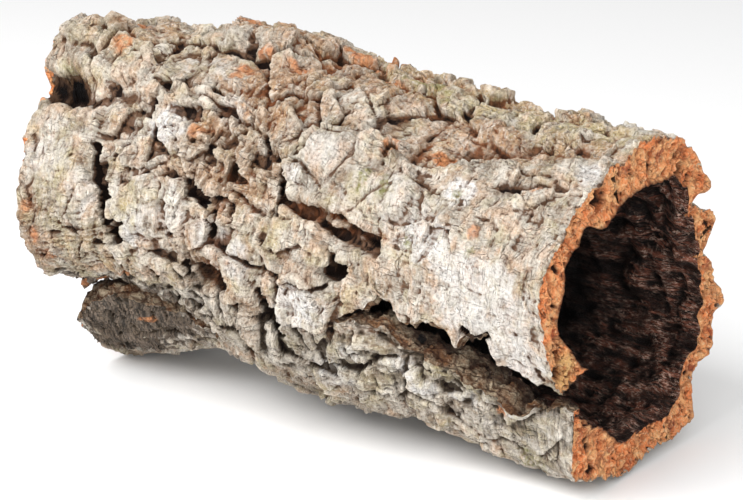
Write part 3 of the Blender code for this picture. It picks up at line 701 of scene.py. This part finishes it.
def side_of_bark(row, v, t, turned_over, finish, push=None):
    """One side of a quarter as a grid: its points, its layers, its faces and their finish."""
    row, v, t = np.broadcast_arrays(row, v, t)
    shape = row.shape
    row, v, t = row.ravel(), v.ravel(), t.ravel()
    points = bark_point(row, v, t)
    angle, _, _ = bark_angle(row, v, t)
    layers = {name: at(name, row, angle) for name in COLOUR_LAYERS}
    if finish == BELLY:
        layers["hollow"] = at("belly_hollow", row, angle)
    if push is not None:
        lift, own = push(points, row, v, t)
        points = points + lift
        layers.update({name: np.where((t > 0) & (t < 1), value, layers[name]) for name, value in own.items()})
    layers["through"] = t * 1.0
    bent = finish != BELLY
    layers["along"] = STATIONS[row] + bent * at("bend_along", row, angle)
    layers["round"] = angle * MIN_ROUND + bent * at("bend_round", row, angle)
    faces = squares(shape[0], shape[1], turned_over)
    return points, layers, faces, np.full(len(faces), finish)


CRUST, BELLY, SAWN, TORN = range(4)

# The near sawn face. Each row is the angle about the mouth's middle, the distance from it, radius and depth in
# millimetres.
MOUTH_MIDDLE = 0.0705
MOUTH_PITS = (
    (118.5, 68, 4.6, 7.0), (66.1, 70, 2.2, 3.0), (59.5, 66.5, 3.4, 6.0), (52.6, 68, 1.9, 3.0), (72, 63, 1.8, 2.5),
    (179.5, 63, 2.4, 5.0), (186.5, 62.3, 3.0, 5.0), (84, 64, 1.6, 2.0), (97, 66, 1.7, 2.5), (108, 66, 1.5, 2.5),
    (-128, 60, 1.6, 2.5), (-121, 67, 2.6, 2.0), (-40, 60, 1.6, 2.0), (24, 66, 1.8, 2.0), (150, 76, 1.6, 2.0),
)
MOUTH_STAINS = (
    (78, 71, 5.0), (101, 71, 5.0), (-111, 59.5, 4.5), (-92.6, 66, 5.0), (-137, 58, 4.0), (-20, 71, 5.0),
    (-36, 62, 4.0), (170, 66, 4.0), (60, 62, 4.0), (8, 62, 3.5), (-60, 68, 4.0), (-122, 68, 4.0),
)
MOUTH_HOOK = (187, 58, 8.0)      # a paler, yellow place at the flap's corner
MOUTH_CRACKS = (((-132, 54), (-130.5, 64)), ((161, 70), (157, 78)))     # from (angle, distance) to (angle, distance)
PORE_ROUND, PORE_THROUGH, PORE_SHARE, PORE_DEPTH = 0.0046, 0.0024, 0.52, 0.0024
SAWN_GRAIN = ((0.009, 0.0012, 501), (0.0042, 0.0015, 503), (0.0021, 0.0012, 505))
FAR = 10_000            # a number of steps that a pattern never reaches


def mouth_spot(angle, distance):
    turn = np.radians(angle)
    return distance * MM * np.cos(turn), MOUTH_MIDDLE + distance * MM * np.sin(turn)


def from_mouth_spot(points, angle, distance):
    y, z = mouth_spot(angle, distance)
    return np.hypot(points[:, 1] - y, points[:, 2] - z)


def sawn_relief(points, row, v, t):
    """Pores, cracks and roughness of a sawn end, into the bark along X, and none at its two borders."""
    y, z = points[:, 1] + 0.5, points[:, 2] + 0.5
    near = STATIONS[row] > 0
    round_it, inward = v * ROUND, t * WALL
    rough = sum(rise * swell(y / size, z / size, seed, FAR) for size, rise, seed in SAWN_GRAIN)
    bent = 0.0012 * swell(y / 0.005, z / 0.005, 507, FAR)
    _, name, middle, _ = cells((round_it + bent) / PORE_ROUND, (inward + bent) / PORE_THROUGH + 40, 511, FAR)
    pore = (name > PORE_SHARE) * ramp((0.14 + 0.34 * (name - PORE_SHARE) - middle) / 0.12)
    pits, deepest = pore, PORE_DEPTH * pore
    for angle, distance, radius, depth in MOUTH_PITS:
        share = (from_mouth_spot(points, angle, distance) + 1.5 * bent) / (radius * MM)
        pit = near * ramp((1.3 - share) / 0.7)
        pits, deepest = np.maximum(pits, pit), np.maximum(deepest, depth * MM * pit)
    for (angle, start), (end_angle, end) in MOUTH_CRACKS:
        (y0, z0), (y1, z1) = mouth_spot(angle, start), mouth_spot(end_angle, end)
        along_it = np.array([y1 - y0, z1 - z0])
        share = np.clip(((points[:, 1] - y0) * along_it[0] + (points[:, 2] - z0) * along_it[1])
                        / (along_it @ along_it), 0, 1)
        off = np.hypot(points[:, 1] - y0 - share * along_it[0], points[:, 2] - z0 - share * along_it[1])
        crack = near * ramp(1.4 - np.abs(off + bent / 2) / 0.0008)
        pits, deepest = np.maximum(pits, crack), np.maximum(deepest, 0.0025 * crack)
    inside = ramp(t / 0.10) * ramp((1 - t) / 0.10)
    depth = (deepest + 0.0012 - rough) * inside
    lift = np.stack([-np.sign(STATIONS[row]) * depth, 0 * y, 0 * y], -1)
    stain = np.zeros(len(y))
    for angle, distance, radius in MOUTH_STAINS:
        stain = np.maximum(stain, near * ramp(1.4 - from_mouth_spot(points, angle, distance) / (radius * MM)))
    angle, distance, radius = MOUTH_HOOK
    hook = near * ramp(1.5 - from_mouth_spot(points, angle, distance) / (radius * MM))
    return lift, {"hollow": pits + 0.4 * np.clip(-rough / 0.0012, 0, 1), "moss": hook, "rusty": stain}


TORN_GRAIN = ((0.0060, 7, 0.0030, 521), (0.0022, 18, 0.0012, 523))      # length, steps through the bark, height, seed


def torn_relief(points, row, v, t):
    """The slit's torn edges: crumbly layers that stand out or are worn back, along the tube."""
    x = points[:, 0]
    inside = ramp(t / 0.15) * ramp((1 - t) / 0.15)
    rough = sum(rise * swell(x / size, t * steps / 3 + 40, seed, FAR) for size, steps, rise, seed in TORN_GRAIN)
    ledge = 0.0016 * swell(x / 0.05, t * 5 + 0.8 * swell(x / 0.02, t * 2 + 40, 527, FAR) + 40, 525, FAR)
    opened = np.clip(slit_width(STATIONS[row]) / 6, 0, 1)
    push = (rough + ledge) * inside * opened
    turn = np.arctan2(points[:, 2] - along(CENTRE_LINE, x), points[:, 1])
    sign = np.where(v < 0.5, 1, -1)
    lift = np.stack([0 * x, -np.sin(turn) * push * sign, np.cos(turn) * push * sign], -1)
    return lift, {"hollow": np.clip(-(rough + ledge) / 0.0016, -0.5, 1.5) * opened}


def hidden_relief(points, row, v, t):
    """Between two quarters only the sawn faces' border is lifted, as those faces are."""
    lift, own = sawn_relief(points, row, v, t)
    return lift * ((row == 0) | (row == ROWS))[:, None], own


def slit_relief(points, row, v, t):
    """The torn edges' relief, and at the two ends that of the sawn faces, which they meet there."""
    lift, own = torn_relief(points, row, v, t)
    lift = lift * ramp((HALF - np.abs(STATIONS[row])) / RIM_FADE)[:, None]
    return lift + hidden_relief(points, row, v, t)[0], own


def quarter_of_bark(number):
    """A quarter of the sheet as a closed body: crust, belly, two sawn ends and two sides."""
    first, last = number / 4, (number + 1) / 4
    rows = np.arange(ROWS + 1)
    shares = first + (last - first) * np.arange(QUARTER + 1) / QUARTER
    coarse = first + (last - first) * (np.arange(QUARTER + 1) // 2 * 2) / QUARTER
    sides = [
        side_of_bark(rows[:, None], shares[None], 1.0, False, CRUST),
        side_of_bark(rows[::2, None], shares[None, ::2], 0.0, True, BELLY),
    ]
    for row, count, over in ((ROWS, THROUGH_MOUTH, False), (0, THROUGH_FAR, True)):
        t = np.linspace(0, 1, count + 1)[None]
        v = np.where(t == 0, coarse[:, None], shares[:, None])
        sides.append(side_of_bark(np.full(v.shape, row), v, t, over, SAWN, sawn_relief))
    for v, over in ((first, False), (last, True)):
        slit = v in (0, 1)
        t = side_shares(THROUGH_MOUTH // THROUGH_SLIT if slit else THROUGH_MOUTH)
        row = np.where(t == 0, rows[:, None] // 2 * 2, rows[:, None])
        sides.append(side_of_bark(row, v, t, over, TORN, slit_relief if slit else hidden_relief))
    return joined(sides)


def side_shares(step):
    """Shares t of a quarter's side, station by station: in few steps, but with the sawn faces' own at the ends."""
    k = np.arange(THROUGH_MOUTH + 1)
    t = np.tile(-(-k // step) * step / THROUGH_MOUTH, (ROWS + 1, 1))
    t[-1] = k / THROUGH_MOUTH
    t[0] = k * THROUGH_FAR // THROUGH_MOUTH / THROUGH_FAR
    return t


RESTING = 0.003         # height under which the bark is pressed together where it lies on the floor


def pressed(height):
    """Heights over the floor: below RESTING they fall off as RESTING * exp(height / RESTING - 1), never to 0."""
    return np.where(height < RESTING, RESTING * np.exp(np.minimum(height, RESTING) / RESTING - 1), height)


def joined(sides):
    """The sides' grids as one closed mesh: points at one place are merged, and flattened faces dropped."""
    starts = np.cumsum([0] + [len(s[0]) for s in sides[:-1]])
    points = np.concatenate([s[0] for s in sides])
    points[:, 2] = pressed(points[:, 2])
    faces = np.concatenate([s[2] + start for s, start in zip(sides, starts)])
    finish = np.concatenate([s[3] for s in sides])
    layers = {name: np.concatenate([s[1][name] for s in sides]) for name in sides[0][1]}
    _, kept, place = np.unique(np.round(points * 1e7), axis=0, return_index=True, return_inverse=True)
    faces = place.reshape(-1)[faces]
    whole = (faces[:, 0] != faces[:, 1]) & (faces[:, 1] != faces[:, 2]) & (faces[:, 2] != faces[:, 0])
    return points[kept], {name: layer[kept] for name, layer in layers.items()}, faces[whole], finish[whole]


def piece(name, points, layers, faces, finish, finishes, sharp_from=32):
    """A mesh object with its layers as point attributes, shaded smooth but for its sharp edges."""
    mesh = bpy.data.meshes.new(name)
    mesh.vertices.add(len(points))
    mesh.vertices.foreach_set("co", points.astype(np.float32).ravel())
    mesh.loops.add(faces.size)
    mesh.loops.foreach_set("vertex_index", faces.astype(np.int32).ravel())
    mesh.polygons.add(len(faces))
    mesh.polygons.foreach_set("loop_start", np.arange(0, faces.size, 3, dtype=np.int32))
    for kind in finishes:
        mesh.materials.append(kind)
    mesh.polygons.foreach_set("material_index", finish.astype(np.int32))
    mesh.update(calc_edges=True)
    mesh.validate()
    for layer, values in layers.items():
        mesh.attributes.new(layer, "FLOAT", "POINT").data.foreach_set("value", values.astype(np.float32))
    mesh.shade_smooth()
    mesh.set_sharp_from_angle(angle=np.radians(sharp_from))
    thing = bpy.data.objects.new(name, mesh)
    bpy.context.scene.collection.objects.link(thing)
    return thing


def tint(red, green, blue):
    """A colour as it is seen on a screen (0 to 255), as linear light."""
    share = np.array([red, green, blue]) / 255
    linear = np.where(share <= 0.04045, share / 12.92, ((share + 0.055) / 1.055) ** 2.4)
    return tuple(linear) + (1,)


class Finish:
    """A material put together step by step. Each method adds a node and gives back its output."""

    def __init__(self, name, roughness=0.9):
        self.material = bpy.data.materials.new(name)
        self.material.use_nodes = True
        self.tree = self.material.node_tree
        self.shader = self.tree.nodes["Principled BSDF"]
        self.shader.inputs["Roughness"].default_value = roughness
        self.shader.inputs["Specular IOR Level"].default_value = 0.25
        self.place = self.tree.nodes.new("ShaderNodeTexCoord").outputs["Object"]

    def bend(self, size, amount):
        """Shifts every later pattern by noise, so that its lines wander."""
        node = self.tree.nodes.new("ShaderNodeTexNoise")
        self.put(node.inputs["Vector"], self.place)
        node.inputs["Scale"].default_value = 1 / size
        node.inputs["Detail"].default_value = 3.0
        move = self.tree.nodes.new("ShaderNodeVectorMath")
        move.operation = "MULTIPLY_ADD"
        self.put(move.inputs[0], node.outputs["Color"])
        move.inputs[1].default_value = (2 * amount,) * 3
        self.put(move.inputs[2], self.place)
        self.place = move.outputs["Vector"]

    def put(self, socket, value):
        if isinstance(value, bpy.types.NodeSocket):
            self.tree.links.new(value, socket)
        else:
            socket.default_value = value

    def layer(self, name):
        node = self.tree.nodes.new("ShaderNodeAttribute")
        node.attribute_name = name
        return node.outputs["Fac"]

    def unroll(self):
        """Every later pattern lies on the sheet as if it were rolled out: X along the tube and Y round it."""
        node = self.tree.nodes.new("ShaderNodeCombineXYZ")
        self.put(node.inputs["X"], self.layer("along"))
        self.put(node.inputs["Y"], self.layer("round"))
        self.place = node.outputs["Vector"]

    def along_tube(self):
        node = self.tree.nodes.new("ShaderNodeSeparateXYZ")
        self.put(node.inputs["Vector"], self.place)
        return node.outputs["X"]

    def stretched(self, along_x, around, shift=0.0):
        node = self.tree.nodes.new("ShaderNodeMapping")
        self.put(node.inputs["Vector"], self.place)
        node.inputs["Scale"].default_value = (1 / along_x, 1 / around, 1 / around)
        node.inputs["Location"].default_value = (shift, shift, shift)
        return node.outputs["Vector"]

    def grain(self, along_x, around=None, detail=3.0, roughness=0.6, shift=0.0):
        node = self.tree.nodes.new("ShaderNodeTexNoise")
        self.put(node.inputs["Vector"], self.stretched(along_x, around or along_x, shift))
        node.inputs["Scale"].default_value = 1.0
        node.inputs["Detail"].default_value = detail
        node.inputs["Roughness"].default_value = roughness
        return node.outputs["Fac"]

    def cells(self, along_x, around=None, feature="DISTANCE_TO_EDGE", shift=0.0):
        node = self.tree.nodes.new("ShaderNodeTexVoronoi")
        node.feature = feature
        self.put(node.inputs["Vector"], self.stretched(along_x, around or along_x, shift))
        node.inputs["Scale"].default_value = 1.0
        return node.outputs["Distance"]

    def vector(self, how, first, second):
        node = self.tree.nodes.new("ShaderNodeVectorMath")
        node.operation = how
        self.put(node.inputs[0], first)
        self.put(node.inputs[1], second)
        return node.outputs["Value" if how == "DOT_PRODUCT" else "Vector"]

    def chips(self, along_x, around=None, shift=0.0):
        """Flat chips that each lean their own way: offset from the chip's middle times a direction of its own."""
        node = self.tree.nodes.new("ShaderNodeTexVoronoi")
        place = self.stretched(along_x, around or along_x, shift)
        self.put(node.inputs["Vector"], place)
        node.inputs["Scale"].default_value = 1.0
        offset = self.vector("SUBTRACT", place, node.outputs["Position"])
        lean = self.vector("SUBTRACT", node.outputs["Color"], (0.5, 0.5, 0.5))
        return self.vector("DOT_PRODUCT", offset, lean)

    def sum(self, first, second, how="ADD", clamp=False):
        node = self.tree.nodes.new("ShaderNodeMath")
        node.operation = how
        node.use_clamp = clamp
        self.put(node.inputs[0], first)
        self.put(node.inputs[1], second)
        return node.outputs[0]

    def times(self, first, second):
        return self.sum(first, second, "MULTIPLY")

    def share(self, value, low, high, to_low=0.0, to_high=1.0):
        node = self.tree.nodes.new("ShaderNodeMapRange")
        self.put(node.inputs["Value"], value)
        node.inputs["From Min"].default_value = low
        node.inputs["From Max"].default_value = high
        node.inputs["To Min"].default_value = to_low
        node.inputs["To Max"].default_value = to_high
        return node.outputs["Result"]

    def mix(self, share, first, second, blend="MIX"):
        node = self.tree.nodes.new("ShaderNodeMix")
        node.data_type = "RGBA"
        node.blend_type = blend
        self.put(node.inputs["Factor"], share)
        self.put(node.inputs["A"], first)
        self.put(node.inputs["B"], second)
        return node.outputs["Result"]

    def bump(self, height, depth, strength=1.0, under=None):
        node = self.tree.nodes.new("ShaderNodeBump")
        node.inputs["Strength"].default_value = strength
        node.inputs["Distance"].default_value = depth
        self.put(node.inputs["Height"], height)
        if under is not None:
            self.put(node.inputs["Normal"], under)
        return node.outputs["Normal"]

    def done(self, colour, normal):
        self.put(self.shader.inputs["Base Color"], colour)
        self.put(self.shader.inputs["Normal"], normal)
        return self.material


def crust_finish():
    """Weathered crust: cream and grey mottle, white and lichen patches, brown hollows deepened with painted shade,
    fresh orange cork.
    """
    f = Finish("crust")
    speck = f.grain(0.0013, None, 5, 0.75, shift=3)
    chips = f.chips(0.0016, None, shift=63)
    f.unroll()
    f.bend(0.012, 0.0004)
    plates = f.chips(0.0036, 0.0052, shift=65)
    blotch = f.grain(0.010, 0.013, 4)
    fleck = f.grain(0.0026, 0.0042, 4, 0.7, shift=13)
    streaks = f.grain(0.0014, 0.013, 5, 0.68, shift=7)
    lines = f.grain(0.016, 0.0010, 4, 0.65, shift=11)
    tone = f.sum(f.times(f.layer("mottle"), 0.22), f.times(f.layer("tone"), 0.45))
    tone = f.sum(tone, f.times(f.share(blotch, 0.3, 0.7), 0.55))
    colour = f.mix(f.share(tone, 0.15, 0.85), tint(152, 136, 116), tint(238, 230, 217))
    warmth = f.share(f.layer("shaded_low_bark"), 0.0, 0.7, 1.0, 0.1)
    peach = f.times(f.share(f.grain(0.008, 0.012, 3, shift=19), 0.46, 0.62), 0.6)
    colour = f.mix(f.times(peach, warmth), colour, tint(222, 182, 148))
    colour = f.mix(f.times(f.share(f.grain(0.010, 0.010, 3, shift=23), 0.52, 0.66), 0.5), colour, tint(158, 152, 142))
    colour = f.mix(f.times(f.share(f.grain(0.012, 0.012, 3, shift=59), 0.50, 0.66), 0.45), colour, tint(214, 200, 154))
    white = f.times(f.layer("white"), f.share(fleck, 0.3, 0.5))
    colour = f.mix(f.times(white, 0.9), colour, tint(244, 241, 238))
    green = f.times(f.layer("lichen"), f.share(f.grain(0.006, 0.008, 3, shift=29), 0.35, 0.6))
    colour = f.mix(f.times(green, 0.7), colour, tint(192, 174, 114))
    brown = f.mix(f.share(fleck, 0.35, 0.65), tint(112, 70, 44), tint(222, 174, 128))
    rusty = f.times(f.layer("rusty"), f.share(f.grain(0.005, 0.007, 3, shift=61), 0.32, 0.56))
    colour = f.mix(f.times(rusty, 0.85), colour, brown)
    spots = f.times(f.share(f.layer("mottle"), 0.0, 0.8), f.share(fleck, 0.5, 0.62))
    colour = f.mix(f.times(f.times(spots, 0.5), warmth), colour, tint(186, 134, 92))
    crumb = f.times(f.layer("crumb"), f.share(f.grain(0.005, 0.006, 3, shift=31), 0.3, 0.55))
    colour = f.mix(f.times(crumb, 0.7), colour, f.mix(fleck, tint(116, 78, 50), tint(216, 180, 142)))
    # Raised edges are painted paler: partly worn white, partly a painted highlight.
    colour = f.mix(f.share(f.layer("crack"), -1.5, -0.3, 0.4, 0.0), colour, tint(236, 224, 206))
    shade = f.sum(f.times(f.share(speck, 0.38, 0.58), 0.44), f.times(f.share(streaks, 0.36, 0.64), 0.34))
    shade = f.sum(shade, f.times(f.share(lines, 0.36, 0.64), 0.22))
    colour = f.mix(f.share(shade, 0.12, 0.50, 0.8, 0.0), colour, tint(112, 86, 64))
    colour = f.mix(f.share(shade, 0.62, 0.9, 0.0, 0.7), colour, tint(240, 233, 222))
    plain = f.share(f.layer("smooth"), 0.0, 1.0)
    clouds = f.grain(0.014, 0.008, 4, 0.65, shift=69)
    colour = f.mix(f.times(f.share(streaks, 0.50, 0.36, 0, 0.45), plain), colour, tint(140, 128, 116))
    colour = f.mix(f.times(f.share(clouds, 0.50, 0.38, 0, 0.45), plain), colour, tint(158, 147, 136))
    colour = f.mix(f.times(f.share(clouds, 0.50, 0.62, 0, 0.7), plain), colour, tint(236, 231, 225))
    # Painted shade on the low bark and the tongue: darker in its hollows, and all over where it lies deepest in shade,
    # towards near-black and grey-brown streaks.
    low_bark_shade = f.times(f.share(f.layer("hollow"), -0.5, 0.5), 0.8)
    low_bark_shade = f.sum(f.share(f.layer("shaded_low_bark"), 0.8, 1.0, 0.0, 0.92), low_bark_shade, "MAXIMUM")
    low_bark_shade = f.times(f.share(f.layer("shaded_low_bark"), 0.0, 0.5), low_bark_shade)
    colour = f.mix(low_bark_shade, colour, f.mix(f.share(streaks, 0.41, 0.59), tint(24, 18, 14), tint(130, 112, 96)))
    fresh = f.times(f.layer("fresh"), f.share(f.grain(0.003, None, 3, shift=37), 0.3, 0.5))
    cork = f.mix(f.share(f.grain(0.0022, None, 3, shift=41), 0.35, 0.65), tint(178, 106, 62), tint(230, 160, 108))
    colour = f.mix(f.times(fresh, 0.9), colour, cork)
    moss = f.times(f.layer("moss"), f.share(f.grain(0.003, None, 3, shift=43), 0.4, 0.6))
    colour = f.mix(f.times(moss, 0.85), colour, tint(130, 128, 56))
    gate = f.share(f.grain(0.009, None, 2, shift=47), 0.50, 0.60)
    hair = f.times(f.share(f.cells(0.0042, 0.0120, shift=51), 0.0, 0.06, 1.0, 0.0), gate)
    gate = f.share(f.grain(0.007, None, 2, shift=53), 0.50, 0.60)
    hair = f.sum(hair, f.times(f.share(f.cells(0.0110, 0.0028, shift=57), 0.0, 0.065, 1.0, 0.0), gate), "MAXIMUM")
    dots = f.sum(f.share(fleck, 0.37, 0.28), f.share(speck, 0.37, 0.29), "MAXIMUM")
    fine = f.times(f.sum(hair, dots, "MAXIMUM"), f.share(white, 0.0, 1.0, 0.46, 0.10))
    fine = f.times(fine, f.share(plain, 0.0, 1.0, 1.0, 0.5))
    # Cracks, hollows and deep places are painted brown, partly the crust's own colour and partly painted shade, with
    # the fine hair cracks and dots added.
    dark = f.sum(f.share(f.layer("crack"), 0.25, 1.6, 0.0, 0.9), f.share(f.layer("hollow"), 0.2, 1.5, 0.0, 0.92))
    dark = f.sum(dark, f.share(f.layer("deep"), 0.25, 1.2, 0.0, 0.8))
    dark = f.sum(dark, fine)
    warm = f.mix(rusty, f.mix(warmth, tint(56, 48, 36), tint(100, 66, 42)), tint(136, 78, 44))
    colour = f.mix(f.share(dark, 0.08, 0.8, 0, 0.92), colour, warm)
    # Painted shade: the deepest crevices turn near-black, less so on rusty places.
    black = f.times(f.share(dark, 1.15, 2.1), f.share(rusty, 0.0, 1.0, 1.0, 0.6))
    colour = f.mix(black, colour, tint(34, 20, 13))
    relief = f.sum(f.times(speck, 0.8), f.times(streaks, f.share(plain, 0.0, 1.0, 0.9, 0.5)))
    relief = f.sum(relief, f.times(lines, 0.7))
    relief = f.sum(relief, f.times(hair, -0.5))
    normal = f.bump(relief, 0.0018, 1.0)
    normal = f.bump(f.sum(f.times(chips, 0.35), plates), 0.0034, 1.0, normal)
    return f.done(colour, normal)


def sawn_finish():
    """Sawn cork: granules of warm tan with red-brown gaps, pores, stains and a yellow place at the flap's corner, and
    painted shade in pits and between lumps.
    """
    f = Finish("sawn_cork")
    grain = f.grain(0.0017, None, 5, 0.78, shift=3)
    f.bend(0.003, 0.0014)
    gate = f.share(f.grain(0.005, None, 2, shift=33), 0.40, 0.56)
    gaps = f.times(f.share(f.cells(0.0034, None, shift=31), 0.0, 0.12, 1.0, 0.0), gate)
    colour = f.mix(f.share(f.grain(0.008, None, 3), 0.38, 0.62), tint(255, 154, 94), tint(255, 192, 132))
    colour = f.mix(f.times(f.layer("moss"), 0.8), colour, tint(246, 204, 134))
    colour = f.mix(f.share(grain, 0.45, 0.35, 0, 0.7), colour, tint(160, 72, 38))
    colour = f.mix(f.share(grain, 0.52, 0.62, 0, 0.8), colour, tint(255, 216, 170))
    colour = f.mix(f.times(gaps, 0.5), colour, tint(146, 64, 36))
    stain = f.times(f.layer("rusty"), f.share(f.grain(0.003, None, 3, shift=9), 0.38, 0.6))
    colour = f.mix(f.times(stain, 0.8), colour, tint(150, 62, 44))
    colour = f.mix(f.share(f.grain(0.0045, None, 3, shift=15), 0.60, 0.70, 0, 0.6), colour, tint(194, 104, 62))
    # Pits and pores are dark in the cork itself; the red-brown between lumps and the near-black in deep pits are
    # painted shade.
    colour = f.mix(f.share(f.layer("hollow"), 0.05, 0.45, 0, 0.6), colour, tint(156, 76, 44))
    colour = f.mix(f.share(f.layer("hollow"), 0.42, 0.85, 0, 0.95), colour, tint(24, 12, 8))
    colour = f.mix(f.share(f.layer("through"), 0.0, 0.07, 0.85, 0.0), colour, tint(84, 46, 32))
    colour = f.mix(f.share(f.layer("through"), 0.95, 1.0, 0.0, 0.6), colour, tint(186, 148, 118))
    normal = f.bump(f.sum(grain, f.times(gaps, -0.5)), 0.0022, 1.0)
    normal = f.bump(f.chips(0.0022, None, shift=21), 0.0016, 0.9, normal)
    return f.done(colour, normal)


def belly_finish():
    """The belly: near-black brown fibres along the tube with lighter ones, painted glints, and painted shade in its
    hollows and away from the mouth.
    """
    f = Finish("dark_belly", 0.5)
    # Painted shade deeper in the tube: the belly is painted darker away from the mouth.
    uneven = f.times(f.share(f.grain(0.024, None, 3, shift=29), 0.3, 0.7), 0.03)
    depth = f.share(f.sum(f.along_tube(), uneven), 0.085, 0.145)
    f.unroll()
    f.bend(0.012, 0.0006)
    fibre = f.grain(0.009, 0.0012, 5, 0.75)
    speck = f.grain(0.0018, 0.0009, 4, 0.8, shift=5)
    blotch = f.grain(0.018, 0.011, 4, shift=17)
    colour = f.mix(f.share(fibre, 0.44, 0.60), tint(20, 9, 7), tint(192, 118, 92))
    # Painted glints: pale specks that stand in for light caught by the fibres.
    colour = f.mix(f.share(speck, 0.53, 0.59, 0, 0.95), colour, tint(255, 218, 196))
    colour = f.mix(f.share(blotch, 0.54, 0.42, 0.0, 0.9), colour, tint(18, 9, 8))
    # Painted shade in the belly's hollows.
    colour = f.mix(f.share(f.layer("hollow"), -0.2, 1.2, 0, 0.94), colour, tint(10, 6, 5))
    # Painted shade: darker away from the mouth, deeper in the tube.
    colour = f.mix(f.share(depth, 0.0, 1.0, 0.94, 0.0), colour, tint(7, 4, 4))
    normal = f.bump(fibre, 0.0026, 1.0)
    normal = f.bump(f.sum(speck, f.chips(0.0060, 0.0026, shift=27)), 0.0022, 1.0, normal)
    return f.done(colour, normal)


def torn_finish():
    """The slit's torn edges: crumbly plates, cream and tan, dark red-brown between them and towards the belly, with
    painted shade where layers are worn back.
    """
    f = Finish("torn_edge")
    speck = f.grain(0.0015, None, 5, 0.75, shift=5)
    f.bend(0.006, 0.0016)
    layers = f.share(f.grain(0.024, 0.0014, 4, 0.7), 0.35, 0.65)
    gaps = f.share(f.cells(0.0110, 0.0045, shift=35), 0.0, 0.12, 1.0, 0.0)
    plates = f.share(f.grain(0.009, 0.006, 3, shift=8), 0.42, 0.58)
    colour = f.mix(plates, f.mix(layers, tint(86, 54, 36), tint(160, 116, 80)), f.mix(layers, tint(150, 124, 96), tint(216, 198, 170)))
    colour = f.mix(f.share(speck, 0.46, 0.34, 0, 0.8), colour, tint(66, 42, 30))
    colour = f.mix(f.share(speck, 0.58, 0.70, 0, 0.6), colour, tint(230, 212, 188))
    colour = f.mix(f.times(gaps, 0.85), colour, tint(70, 40, 26))
    # Painted shade where the torn layers are worn back.
    colour = f.mix(f.share(f.layer("hollow"), 0.1, 1.2, 0, 0.85), colour, tint(50, 29, 19))
    colour = f.mix(f.share(f.layer("through"), 0.1, 0.5, 0.88, 0.0), colour, tint(40, 22, 15))
    normal = f.bump(f.sum(speck, f.times(gaps, -0.8)), 0.0018, 1.0)
    normal = f.bump(f.sum(layers, f.times(f.chips(0.0050, 0.0030, shift=39), 2.0)), 0.0016, 1.0, normal)
    return f.done(colour, normal)


def bark():
    """The whole bark, in four quarters."""
    finishes = (crust_finish(), belly_finish(), sawn_finish(), torn_finish())
    for number, name in enumerate(QUARTERS):
        quarter = piece(name, *quarter_of_bark(number), finishes)
        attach(quarter, "root")
        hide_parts("cork_bark")


# The photograph's view: where the camera stands, what it looks at and its lens.
AZIMUTH, ELEVATION, DISTANCE = 36, 17, 1.1
TARGET = (0.0008, 0, 0.0755)
LENS = 117.5


def camera():
    azimuth, elevation = np.radians(AZIMUTH), np.radians(ELEVATION)
    back = Vector((
        np.sin(azimuth) * np.cos(elevation), -np.cos(azimuth) * np.cos(elevation), np.sin(elevation),
    ))
    eye = bpy.data.objects.new("camera", bpy.data.cameras.new("camera"))
    eye.data.lens = LENS
    eye.location = Vector(TARGET) + back * DISTANCE
    eye.rotation_euler = back.to_track_quat("Z", "Y").to_euler()
    bpy.context.scene.collection.objects.link(eye)
    bpy.context.scene.camera = eye


def soft_light(name, place, size, power):
    """A square area light that looks at the bark."""
    lamp = bpy.data.lights.new(name, "AREA")
    lamp.size = size
    lamp.energy = power
    thing = bpy.data.objects.new(name, lamp)
    thing.location = place
    thing.rotation_euler = (Vector(place) - Vector(TARGET)).to_track_quat("Z", "Y").to_euler()
    bpy.context.scene.collection.objects.link(thing)


def studio():
    """A pale floor and a pale world, with a large light high on the left and a weaker one on the right."""
    size = 6
    spots = np.array([(-size, -size, 0), (size, -size, 0), (size, size, 0), (-size, size, 0)], float)
    mesh = bpy.data.meshes.new("floor")
    mesh.from_pydata(spots.tolist(), [], [(0, 1, 2, 3)])
    paint = Finish("floor_paint", 0.9)
    paint.shader.inputs["Base Color"].default_value = tint(248, 248, 248)
    mesh.materials.append(paint.material)
    floor = bpy.data.objects.new("floor", mesh)
    bpy.context.scene.collection.objects.link(floor)
    world = bpy.data.worlds.new("studio")
    world.use_nodes = True
    world.node_tree.nodes["Background"].inputs["Color"].default_value = (1, 1, 1, 1)
    world.node_tree.nodes["Background"].inputs["Strength"].default_value = 0.66
    bpy.context.scene.world = world
    soft_light("key", (-0.3, -1.1, 1.2), 1.1, 28)
    soft_light("fill", (0.9, -1.0, 0.6), 1.2, 12)
    bpy.context.scene.view_settings.view_transform = "Standard"


camera()
bark()
studio()
